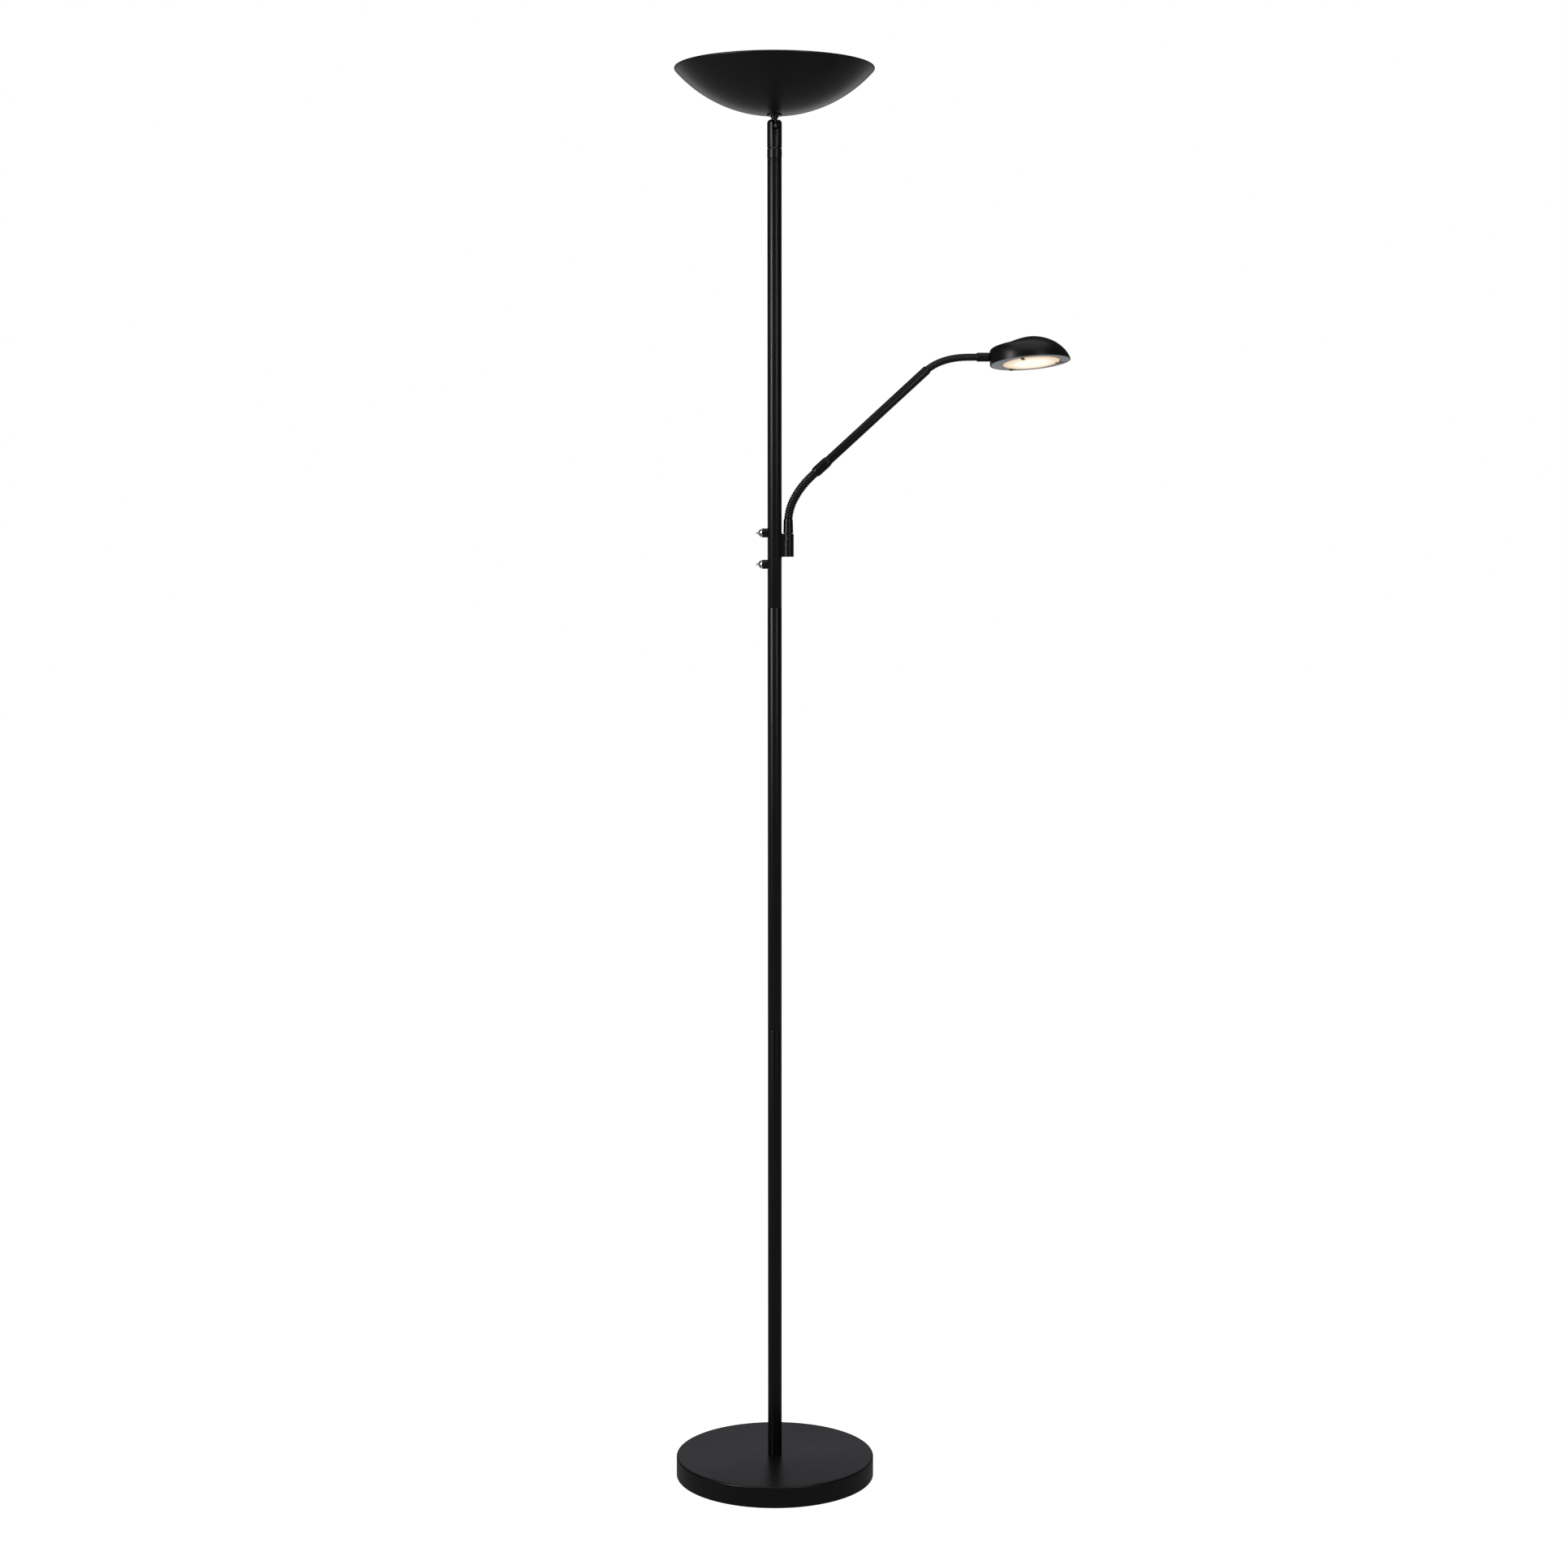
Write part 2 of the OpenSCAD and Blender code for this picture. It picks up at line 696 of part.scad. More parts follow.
module arm_bracket() {
    color(black) difference() {
        union() {
            translate([arm_x, 0, bracket_z]) rotate_extrude() polygon([
                [0, 0], [bracket_r - 0.4, 0], [bracket_r, 0.4], [bracket_r, bracket_h - 0.8],
                [bracket_r - 0.8, bracket_h], [0, bracket_h]
            ]);
            translate([0, 5, bracket_z]) rotate([90, 0, 0]) linear_extrude(height = 10)
                difference() {
                    translate([pole_r - 2, -2]) square([arm_x - pole_r - 1, bracket_h + 4]);
                    translate([pole_r + 2.2, -2.2]) circle(r = 2.2);
                    translate([pole_r + 2.2, -4]) square([20, 4]);
                    translate([pole_r + 2.2, bracket_h + 2.2]) circle(r = 2.2);
                    translate([pole_r + 2.2, bracket_h]) square([20, 4]);
                }
        }
        translate([0, 0, bracket_z - 5]) cylinder(h = bracket_h + 10, r = pole_r);
        translate([arm_x, 0, bracket_z + 2.2]) cylinder(h = bracket_h, r = socket_r);
        translate([pole_r - 3, 0, bracket_z + 4]) rotate([0, 90, 0]) cylinder(h = 6, r = 1.6);
        translate([arm_x, 0, grub_z]) rotate([0, 0, -21]) rotate([90, 0, 0])
            cylinder(h = 10, r = 2);
        translate([arm_x, 0, grub_z]) rotate([0, 0, -21]) translate([0, -bracket_r + 0.6, 0])
            rotate([90, 0, 0]) cylinder(h = 4, r = 2.6);
    }
}

module bracket_grub_screw() {
    color(steel) translate([arm_x, 0, grub_z]) rotate([0, 0, -21]) rotate([90, 0, 0])
        difference() {
            union() {
                translate([0, 0, socket_r + 0.1]) cylinder(h = 1.7, r = 2);
                translate([0, 0, socket_r - 0.5]) cylinder(h = 0.8, r = 1.2);
            }
            translate([0, 0, socket_r + 0.7]) cylinder(h = 3, r = 1, $fn = 6);
        }
}

module arm_ferrule() {
    spigot_top = ferrule_gap + 0.5;
    color(black) difference() {
        union() {
            translate([arm_x, 0, bracket_top_z + ferrule_gap]) rotate_extrude() polygon([
                [0, 0], [ferrule_r - 0.4, 0], [ferrule_r, 0.4], [ferrule_r, ferrule_h - 1.2],
                [ferrule_r - 1, ferrule_h], [0, ferrule_h]
            ]);
            translate([arm_x, 0, bracket_z + 5.8])
                cylinder(h = bracket_h - 5.8 + spigot_top, r = socket_r - run_gap);
            translate([arm_x, 0, 0]) ball_end(low_shape, low_start[2]);
        }
        translate([arm_x, 0, 0]) pipe(grub_z - 1.8, grub_z + 1.8, socket_r + 1, socket_r - 0.9);
        translate([arm_x, 0, bracket_z]) cylinder(h = 80, r = low_shape[4]);
    }
}

module lower_neck_link_1() {
    color(black) low_link(1);
}

module lower_neck_link_2() {
    color(black) low_link(2);
}

module lower_neck_link_3() {
    color(black) low_link(3);
}

module lower_neck_link_4() {
    color(black) low_link(4);
}

module lower_neck_link_5() {
    color(black) low_link(5);
}

module arm_sleeve() {
    color(black) aim(low_end, tube_slope) difference() {
        rotate_extrude() polygon([
            [0, cup_lift], [sleeve_r - 1, cup_lift], [sleeve_r, 4.5], [sleeve_r, 20.5],
            [sleeve_r - 0.85, sleeve_len], [0, sleeve_len]
        ]);
        sphere(r = low_shape[3] + ball_gap);
        cylinder(h = 20, r = low_shape[4]);
        translate([0, 0, 9]) cylinder(h = 30, r = tube_r);
    }
}

module arm_tube() {
    color(black) aim(low_end, tube_slope) pipe(9, tube_len - 0.8, tube_r, tube_r - 1);
}

module arm_tube_bush() {
    color(black) aim(low_end, tube_slope) difference() {
        union() {
            translate([0, 0, tube_len - 14]) cylinder(h = 13.4, r = tube_r - 1);
            translate([0, 0, tube_len - 0.8]) cylinder(h = 0.8, r = tube_r - 0.6);
            ball_end(high_shape, tube_len + end_drop);
        }
        translate([0, 0, tube_len - 20]) cylinder(h = 30, r = high_shape[4]);
    }
}

module upper_neck_link_1() {
    color(black) high_link(1);
}

module upper_neck_link_2() {
    color(black) high_link(2);
}

module upper_neck_link_3() {
    color(black) high_link(3);
}

module upper_neck_link_4() {
    color(black) high_link(4);
}

module upper_neck_link_5() {
    color(black) high_link(5);
}

module upper_neck_link_6() {
    color(black) high_link(6);
}

// ---------- reading head ----------

module head_ferrule() {
    color(black) aim(high_end, 0) difference() {
        union() {
            rotate_extrude() polygon([
                [0, cup_lift], [head_ferrule_r - 0.8, cup_lift], [head_ferrule_r, 2],
                [head_ferrule_r, head_ferrule_len - 0.6], [0, head_ferrule_len - 0.6]
            ]);
            translate([0, 0, head_ferrule_len - 1]) cylinder(h = 13, r = 4);
        }
        sphere(r = high_shape[3] + ball_gap);
        cylinder(h = 40, r = high_shape[4]);
    }
}

module head_nut() {
    color(steel) aim(high_end, 0) translate([0, 0, head_ferrule_len + 4.5]) difference() {
        cylinder(h = 4, r = 6.4, $fn = 6);
        translate([0, 0, -1]) cylinder(h = 8, r = 4);
    }
}

module head_shell() {
    color(black) difference() {
        in_head() difference() {
            head_solid(0);
            translate([0, 0, -0.01]) head_solid(head_t);
        }
        aim(high_end, 0) translate([0, 0, head_ferrule_len - 3]) cylinder(h = 10, r = 4);
    }
}

module head_ring() {
    color([0.6, 0.62, 0.64]) in_head() difference() {
        union() {
            linear_extrude(height = ring_t) polygon(oval(head_a - head_t, head_b - head_t, 0));
            translate([lens_x, lens_y, 0]) cylinder(h = board_z, r = lens_r + 1.6);
        }
        translate([lens_x, lens_y, -1]) cylinder(h = 12, r = ring_hole_r);
        for (x = head_screw_x) translate([x, head_screw_y, -1]) cylinder(h = 4, r = 1);
    }
}

module head_led_board() {
    color([0.9, 0.92, 0.9]) in_head() translate([lens_x, lens_y, board_z]) union() {
        cylinder(h = 1.4, r = lens_r + 1);
        for (i = [0 : 11]) rotate([0, 0, 30 * i]) translate([20.6, -1.4, -0.7])
            cube([2.8, 2.8, 1.1]);
    }
}

module head_lens() {
    bulge = 1.2;
    color(opal) in_head() translate([lens_x, lens_y, 0]) rotate_extrude() polygon([
        [0, -bulge], [lens_r * 0.4, -bulge * 0.84], [lens_r * 0.7, -bulge * 0.5],
        [lens_r - 0.6, 0], [lens_r, 0.4], [lens_r, 2], [0, 2]
    ]);
}

module head_clips() {
    color(steel) in_head() translate([lens_x, lens_y, 0]) for (a = [-112, 8, 128])
        rotate([0, 0, a]) union() {
            translate([lens_r - 4.5, -2.2, -1.8]) cube([8, 4.4, 0.7]);
            translate([lens_r + 2.3, -2.2, -1.2]) cube([1.2, 4.4, 1.2]);
        }
}

module head_screws() {
    color(steel) in_head() union() {
        for (x = head_screw_x) translate([x, head_screw_y, -0.2]) cylinder(h = 3, r = 1);
        translate([head_screw_x[0], head_screw_y, -0.7]) cylinder(h = 0.7, r = 1.5);
        translate([head_screw_x[1], head_screw_y, -0.9]) cylinder(h = 0.9, r = 2);
    }
}

// ---------- all parts ----------

base_pad();
base_weight();
base_cover();
base_nipple();
base_washer();
base_nut();
cord_gland();
pole_foot_insert();
lower_pole_tube();
lower_pole_coupler();
middle_pole_tube();
upper_pole_coupler();
upper_pole_tube();
pole_top_insert();
swivel_ring();
swivel_snap_ring();
pole_wiring();
dimmer_modules();
dimmer_barrels();
arm_bracket();
bracket_grub_screw();
knuckle_fork();
knuckle_pin();
knuckle_tongue();
bowl_flange();
bowl();
bowl_nut();
driver_tray();
led_driver();
reflector_plate();
led_board();
diffuser();
diffuser_clips();
plate_screws();
upper_knob();
lower_knob();
arm_ferrule();
lower_neck_link_1();
lower_neck_link_2();
lower_neck_link_3();
lower_neck_link_4();
lower_neck_link_5();
arm_sleeve();
arm_tube();
arm_tube_bush();
upper_neck_link_1();
upper_neck_link_2();
upper_neck_link_3();
upper_neck_link_4();
upper_neck_link_5();
upper_neck_link_6();
head_ferrule();
head_nut();
head_shell();
head_ring();
head_led_board();
head_lens();
head_clips();
head_screws();
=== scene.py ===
# %% [markdown]
# # A torchiere floor lamp with a reading arm
# The lamp is steel tube, pressed sheet steel and moulded plastic, nearly all of it black.
# The CAD model is loaded first and stays as the fixed frame: every piece made here takes its
# place from a CAD node or from a joint, so the looks and the motion can't drift apart.

# %% Load the frame
import json
import math

import bpy
from mathutils import Matrix, Vector


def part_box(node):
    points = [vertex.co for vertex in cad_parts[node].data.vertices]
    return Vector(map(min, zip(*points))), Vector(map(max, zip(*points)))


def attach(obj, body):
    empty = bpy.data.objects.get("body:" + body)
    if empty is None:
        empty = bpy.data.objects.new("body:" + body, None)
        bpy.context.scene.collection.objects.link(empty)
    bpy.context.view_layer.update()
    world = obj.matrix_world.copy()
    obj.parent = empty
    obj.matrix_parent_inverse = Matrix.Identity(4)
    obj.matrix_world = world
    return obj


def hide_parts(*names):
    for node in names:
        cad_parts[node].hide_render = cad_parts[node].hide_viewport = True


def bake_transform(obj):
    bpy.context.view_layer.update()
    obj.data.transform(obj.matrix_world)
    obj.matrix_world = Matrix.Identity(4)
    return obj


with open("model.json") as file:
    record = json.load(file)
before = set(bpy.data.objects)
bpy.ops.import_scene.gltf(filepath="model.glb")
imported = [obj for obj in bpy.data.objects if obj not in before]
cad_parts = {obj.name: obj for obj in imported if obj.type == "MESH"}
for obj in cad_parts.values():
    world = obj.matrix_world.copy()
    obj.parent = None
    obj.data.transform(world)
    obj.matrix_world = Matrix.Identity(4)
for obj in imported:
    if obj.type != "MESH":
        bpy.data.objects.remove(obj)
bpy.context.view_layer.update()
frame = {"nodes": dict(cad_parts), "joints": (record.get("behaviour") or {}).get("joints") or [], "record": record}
hinges = {joint["name"]: Vector(joint["pos_m"]) for joint in frame["joints"]}
MM = 0.001

# %% [markdown]
# ## Camera
# A product shot of a tall lamp is taken from well back with a fairly long lens, so the pole
# stays straight. The camera stands at chest height and looks slightly down.

# %% Camera
SENSOR, FOCAL_LENGTH = 36, 62.06
CAMERA_BACK, CAMERA_HEIGHT, CAMERA_DOWN, CAMERA_TURN = 3.43, 1.2121, 5.11, -0.198
camera_data = bpy.data.cameras.new("camera")
camera_data.sensor_width = SENSOR
camera_data.lens = FOCAL_LENGTH
camera = bpy.data.objects.new("camera", camera_data)
camera.location = (0, -CAMERA_BACK, CAMERA_HEIGHT)
camera.rotation_euler = (math.radians(90 - CAMERA_DOWN), 0, math.radians(CAMERA_TURN))
bpy.context.scene.collection.objects.link(camera)
bpy.context.scene.camera = camera
print("camera at", tuple(round(v, 3) for v in camera.location))

# %% [markdown]
# ## Studio
# Black satin paint shows its form only by what it reflects, so the light comes from large soft
# panels at both sides, above and behind. Each side panel leaves a long soft streak on the pole.
# The floor and the surroundings are pale and plain.

# %% Studio light
def soft_panel(name, place, target, width, height, watts, tint=(1, 1, 1)):
    """A rectangular soft light that faces the target."""
    light = bpy.data.lights.new(name, "AREA")
    light.shape = "RECTANGLE"
    light.size, light.size_y, light.energy = width, height, watts
    light.color = tint
    lamp = bpy.data.objects.new(name, light)
    lamp.location = place
    lamp.rotation_euler = (Vector(target) - Vector(place)).to_track_quat("-Z", "Y").to_euler()
    lamp.visible_camera = False
    bpy.context.scene.collection.objects.link(lamp)


soft_panel("left_panel", (-1.97, -1.54, 1.93), (0, 0, 1.6), 0.5, 1.6, 28)
soft_panel("right_panel", (1.4, -2.07, 1.97), (0, 0, 1.6), 0.45, 1.6, 8.4)
soft_panel("top_panel", (0, -0.4, 3.8), (0, 0, 0.9), 3.4, 3.4, 24)
soft_panel("back_panel", (0, 3.2, 1.25), (0, 0, 0.2), 3.4, 1.2, 3.6, (0.97, 0.9, 1))

# %% Surroundings
world = bpy.data.worlds.new("surroundings")
bpy.context.scene.world = world
world.use_nodes = True
air = world.node_tree
air.nodes.clear()
seen = air.nodes.new("ShaderNodeBackground")
seen.inputs["Color"].default_value = (1, 1, 1, 1)
fill = air.nodes.new("ShaderNodeBackground")
fill.inputs["Color"].default_value = (0.96, 0.98, 1, 1)
fill.inputs["Strength"].default_value = 0.05
path_kind = air.nodes.new("ShaderNodeLightPath")
either = air.nodes.new("ShaderNodeMixShader")
world_out = air.nodes.new("ShaderNodeOutputWorld")
air.links.new(path_kind.outputs["Is Camera Ray"], either.inputs["Fac"])
air.links.new(fill.outputs[0], either.inputs[1])
air.links.new(seen.outputs[0], either.inputs[2])
air.links.new(either.outputs[0], world_out.inputs["Surface"])
bpy.context.scene.view_settings.view_transform = "Standard"
bpy.context.scene.view_settings.look = "None"
print("surroundings ready")

# %% [markdown]
# ## Shared effects
# Most finishes here need the same few effects: the fine grain of sprayed or moulded black,
# a broad change of tone, a little settled dust, and fine lines on metal. Each is built once
# as a shader node group that puts out masks and heights, and every material sets its own values.

# %% Group helpers
def new_group(name, inputs, outputs):
    """An empty node group with float inputs and outputs, and its two end nodes."""
    group = bpy.data.node_groups.new(name, "ShaderNodeTree")
    for socket, value in inputs.items():
        made = group.interface.new_socket(
            name=socket, in_out="INPUT", socket_type="NodeSocketFloat")
        made.default_value = value
    for socket in outputs:
        group.interface.new_socket(name=socket, in_out="OUTPUT", socket_type="NodeSocketFloat")
    return group, group.nodes.new("NodeGroupInput"), group.nodes.new("NodeGroupOutput")


def add(tree, kind, **values):
    """A node with its plain properties and its input sockets set by name."""
    made = tree.nodes.new(kind)
    for key, value in values.items():
        if hasattr(made, key):
            setattr(made, key, value)
        else:
            made.inputs[key.replace("_", " ")].default_value = value
    return made


def ramp(tree, source, low, high, to_low=0.0, to_high=1.0):
    """Stretches a value from one range to another, clamped."""
    made = add(tree, "ShaderNodeMapRange", clamp=True)
    for socket, value in zip(("From Min", "From Max", "To Min", "To Max"),
                             (low, high, to_low, to_high)):
        made.inputs[socket].default_value = value
    tree.links.new(source, made.inputs["Value"])
    return made.outputs["Result"]


def times(tree, a, b):
    """The product of two values, each a number or a socket."""
    made = add(tree, "ShaderNodeMath", operation="MULTIPLY")
    for socket, value in zip(made.inputs, (a, b)):
        if isinstance(value, (int, float)):
            socket.default_value = value
        else:
            tree.links.new(value, socket)
    return made.outputs[0]


# %% Coat grain
grain_group, ends, outs = new_group(
    "coat_grain", {"Grain scale": 900, "Patch scale": 9}, ("Height", "Patches", "Flecks"))
place_of = add(grain_group, "ShaderNodeTexCoord").outputs["Object"]
for scale_socket, detail, low, high, out in (
        ("Grain scale", 2.0, 0.3, 0.7, "Height"), ("Patch scale", 3.0, 0.35, 0.65, "Patches")):
    noise = add(grain_group, "ShaderNodeTexNoise", Detail=detail)
    grain_group.links.new(place_of, noise.inputs["Vector"])
    grain_group.links.new(ends.outputs[scale_socket], noise.inputs["Scale"])
    grain_group.links.new(ramp(grain_group, noise.outputs["Fac"], low, high), outs.inputs[out])
specks = add(grain_group, "ShaderNodeTexVoronoi", Scale=260.0)
grain_group.links.new(place_of, specks.inputs["Vector"])
grain_group.links.new(
    ramp(grain_group, specks.outputs["Distance"], 0.05, 0.12, 1, 0), outs.inputs["Flecks"])

# %% Settled dust
dust_group, ends, outs = new_group("settled_dust", {"Amount": 0.2}, ("Mask",))
up = add(dust_group, "ShaderNodeSeparateXYZ")
dust_group.links.new(add(dust_group, "ShaderNodeNewGeometry").outputs["Normal"], up.inputs[0])
noise = add(dust_group, "ShaderNodeTexNoise", Scale=55.0, Detail=6.0)
dust_group.links.new(
    add(dust_group, "ShaderNodeTexCoord").outputs["Object"], noise.inputs["Vector"])
lying = ramp(dust_group, up.outputs["Z"], 0.55, 1.0)
uneven = ramp(dust_group, noise.outputs["Fac"], 0.35, 0.75, 0.25, 1)
dust_group.links.new(
    times(dust_group, times(dust_group, lying, uneven), ends.outputs["Amount"]),
    outs.inputs["Mask"])

# %% Fine lines on metal
lines_group, ends, outs = new_group("fine_lines", {"Across": 2200, "Along": 60}, ("Lines",))
stretch = add(lines_group, "ShaderNodeCombineXYZ")
lines_group.links.new(ends.outputs["Across"], stretch.inputs["Z"])
for socket in ("X", "Y"):
    lines_group.links.new(ends.outputs["Along"], stretch.inputs[socket])
product = add(lines_group, "ShaderNodeVectorMath", operation="MULTIPLY")
lines_group.links.new(
    add(lines_group, "ShaderNodeTexCoord").outputs["Object"], product.inputs[0])
lines_group.links.new(stretch.outputs[0], product.inputs[1])
noise = add(lines_group, "ShaderNodeTexNoise", Scale=1.0, Detail=3.0)
lines_group.links.new(product.outputs[0], noise.inputs["Vector"])
lines_group.links.new(ramp(lines_group, noise.outputs["Fac"], 0.3, 0.7), outs.inputs["Lines"])
print("groups:", [group.name for group in bpy.data.node_groups])

# %% [markdown]
# ## Finishes
# Powder coat, moulded plastic, rubber and paint differ in colour, gloss and the size of their
# grain, so one recipe makes them all. Metals get fine turned lines instead of grain. The two
# opal covers glow, warmer and dimmer towards their rims where the diodes don't reach.

# %% Recipes
def new_material(name):
    """A node material, its tree and its surface shader."""
    material = bpy.data.materials.new(name)
    material.use_nodes = True
    tree = material.node_tree
    return material, tree, tree.nodes["Principled BSDF"]


def use(tree, group, **values):
    """A shared effect in a material, with its own values."""
    made = tree.nodes.new("ShaderNodeGroup")
    made.node_tree = group
    for key, value in values.items():
        made.inputs[key.replace("_", " ")].default_value = value
    return made


def blend_colour(tree, mask, dark, light):
    """A colour that goes from dark to light with a mask; either may be a socket."""
    made = add(tree, "ShaderNodeMix", data_type="RGBA")
    tree.links.new(mask, made.inputs["Factor"])
    for socket, value in ((made.inputs[6], dark), (made.inputs[7], light)):
        if isinstance(value, tuple):
            socket.default_value = (*value, 1)
        else:
            tree.links.new(value, socket)
    return made.outputs[2]


def bumped(tree, shader, height, depth):
    """Gives a shader fine relief; depth in millimetres."""
    bump = add(tree, "ShaderNodeBump", Distance=depth * MM)
    tree.links.new(height, bump.inputs["Height"])
    tree.links.new(bump.outputs[0], shader.inputs["Normal"])


def coated(name, dark, light, gloss, grain=900, patch=9, depth=0.02, dust=0.1, metallic=0.0,
           specular=0.5):
    """Paint, powder coat or moulded plastic. gloss is the pair of roughness values."""
    material, tree, shader = new_material(name)
    shader.inputs["Metallic"].default_value = metallic
    shader.inputs["Specular IOR Level"].default_value = specular
    skin = use(tree, grain_group, Grain_scale=grain, Patch_scale=patch)
    dusty = use(tree, dust_group, Amount=dust)
    tone = blend_colour(tree, skin.outputs["Patches"], dark, light)
    over = tuple(0.6 * v + 0.12 for v in light)
    tree.links.new(blend_colour(tree, dusty.outputs["Mask"], tone, over),
                   shader.inputs["Base Color"])
    tree.links.new(ramp(tree, skin.outputs["Patches"], 0, 1, *gloss), shader.inputs["Roughness"])
    bumped(tree, shader, skin.outputs["Height"], depth)
    return material


def bare_metal(name, dark, light, gloss, across=2200):
    """Turned, plated or drawn metal with fine lines."""
    material, tree, shader = new_material(name)
    shader.inputs["Metallic"].default_value = 1.0
    lines = use(tree, lines_group, Across=across)
    tree.links.new(blend_colour(tree, lines.outputs["Lines"], dark, light),
                   shader.inputs["Base Color"])
    tree.links.new(ramp(tree, lines.outputs["Lines"], 0, 1, *gloss), shader.inputs["Roughness"])
    bumped(tree, shader, lines.outputs["Lines"], 0.003)
    return material


def glowing(name, centre, reach, middle, rim, strength, flat_share):
    """An opal cover lit from behind, from its middle to its rim."""
    material, tree, shader = new_material(name)
    away = add(tree, "ShaderNodeVectorMath", operation="DISTANCE")
    tree.links.new(add(tree, "ShaderNodeTexCoord").outputs["Object"], away.inputs[0])
    away.inputs[1].default_value = centre
    edge = ramp(tree, away.outputs["Value"], flat_share * reach, reach)
    colour = blend_colour(tree, edge, middle, rim)
    skin = use(tree, grain_group, Grain_scale=1500, Patch_scale=30)
    base = blend_colour(tree, skin.outputs["Patches"], (0.24, 0.23, 0.21), (0.28, 0.27, 0.25))
    tree.links.new(base, shader.inputs["Base Color"])
    tree.links.new(colour, shader.inputs["Emission Color"])
    shader.inputs["Emission Strength"].default_value = strength
    shader.inputs["Roughness"].default_value = 0.45
    bumped(tree, shader, skin.outputs["Height"], 0.006)
    return material


# %% Finishes by slot
finishes = {
    "black_coat": coated("black_coat", (0.003, 0.0029, 0.0034), (0.005, 0.0047, 0.0056),
                         (0.29, 0.34), dust=0.05, specular=0.42),
    "neck_black": coated("neck_black", (0.005, 0.005, 0.0055), (0.008, 0.008, 0.0085),
                         (0.25, 0.31), grain=1600, depth=0.006, dust=0.01),
    "head_black": coated("head_black", (0.004, 0.0035, 0.0034), (0.006, 0.0052, 0.0052),
                         (0.32, 0.38), grain=1400, depth=0.012, dust=0.02, specular=0.42),
    "pad": coated("pad", (0.02, 0.02, 0.02), (0.035, 0.034, 0.033), (0.75, 0.9),
                  grain=1300, depth=0.05),
    "iron": coated("iron", (0.05, 0.048, 0.046), (0.09, 0.085, 0.08), (0.6, 0.8),
                   grain=500, depth=0.12, metallic=0.4),
    "steel": bare_metal("steel", (0.5, 0.5, 0.51), (0.66, 0.66, 0.67), (0.26, 0.4)),
    "brass": bare_metal("brass", (0.6, 0.46, 0.2), (0.75, 0.6, 0.3), (0.25, 0.38)),
    "tongue": bare_metal("tongue", (0.17, 0.165, 0.13), (0.26, 0.25, 0.2), (0.3, 0.42)),
    "clip": bare_metal("clip", (0.2, 0.17, 0.15), (0.3, 0.26, 0.23), (0.35, 0.5)),
    "chrome": bare_metal("chrome", (0.72, 0.73, 0.75), (0.85, 0.86, 0.88), (0.07, 0.14), 5200),
    "white_paint": coated("white_paint", (0.78, 0.78, 0.77), (0.84, 0.84, 0.83), (0.4, 0.5)),
    "driver_case": coated("driver_case", (0.7, 0.7, 0.68), (0.8, 0.8, 0.78), (0.45, 0.6)),
    "board": coated("board", (0.74, 0.77, 0.74), (0.84, 0.86, 0.83), (0.35, 0.5)),
    "dimmer_body": coated("dimmer_body", (0.02, 0.1, 0.05), (0.04, 0.16, 0.08), (0.4, 0.6)),
    "wire": coated("wire", (0.4, 0.03, 0.02), (0.55, 0.05, 0.03), (0.35, 0.5), depth=0.01),
    "silver_ring": coated("silver_ring", (0.56, 0.57, 0.59), (0.63, 0.64, 0.66),
                          (0.38, 0.48), grain=2400, depth=0.006, dust=0.0, metallic=0.3),
}
print(len(finishes), "finishes")

# %% [markdown]
# ## Ways of making a piece
# Most parts of a lamp are turned: a tube, a ferrule, a knob, a spun bowl. In Blender the same
# thing is a profile that is drawn point by point by extruding one vertex, and then spun about
# the upright axis. A turned piece is made upright at the origin and then put in its place, so
# its profile can be read as radius and height in millimetres.

# %% Selecting and placing
def only(piece):
    """Makes a piece the one that is selected and active."""
    bpy.ops.object.select_all(action="DESELECT")
    piece.select_set(True)
    bpy.context.view_layer.objects.active = piece


def put(piece, matrix):
    """Moves a finished piece and writes its place into its mesh."""
    only(piece)
    piece.matrix_world = matrix @ piece.matrix_world
    bpy.ops.object.transform_apply(location=True, rotation=True, scale=True)
    return piece


def aimed(point, slope):
    """The matrix that lays an upright piece along a line climbing towards +X, in degrees."""
    return Matrix.Translation(point) @ Matrix.Rotation(math.radians(90 - slope), 4, "Y")


def modify(piece, kind, **values):
    """Adds a modifier, sets it and applies it."""
    only(piece)
    bpy.ops.object.modifier_add(type=kind)
    made = piece.modifiers[-1]
    for key, value in values.items():
        setattr(made, key, value)
    bpy.ops.object.modifier_apply(modifier=made.name)
    return piece


def soften(piece, width, segments=3, angle=30):
    """Rounds the sharp edges of a piece; width in millimetres."""
    return modify(piece, "BEVEL", width=width * MM, segments=segments, limit_method="ANGLE",
                  angle_limit=math.radians(angle))


def cut(piece, tool, operation="DIFFERENCE"):
    """Cuts one piece out of another, or joins or intersects them, and removes the second."""
    modify(piece, "BOOLEAN", object=tool, operation=operation, solver="EXACT")
    bpy.data.objects.remove(tool)
    return piece


# %% Turning
def arc(across, up, radius, start, end, count=6):
    """Points on a rounded corner of a profile, between two angles in degrees."""
    angles = [math.radians(start + (end - start) * k / count) for k in range(count + 1)]
    return [(across + radius * math.cos(a), up + radius * math.sin(a)) for a in angles]


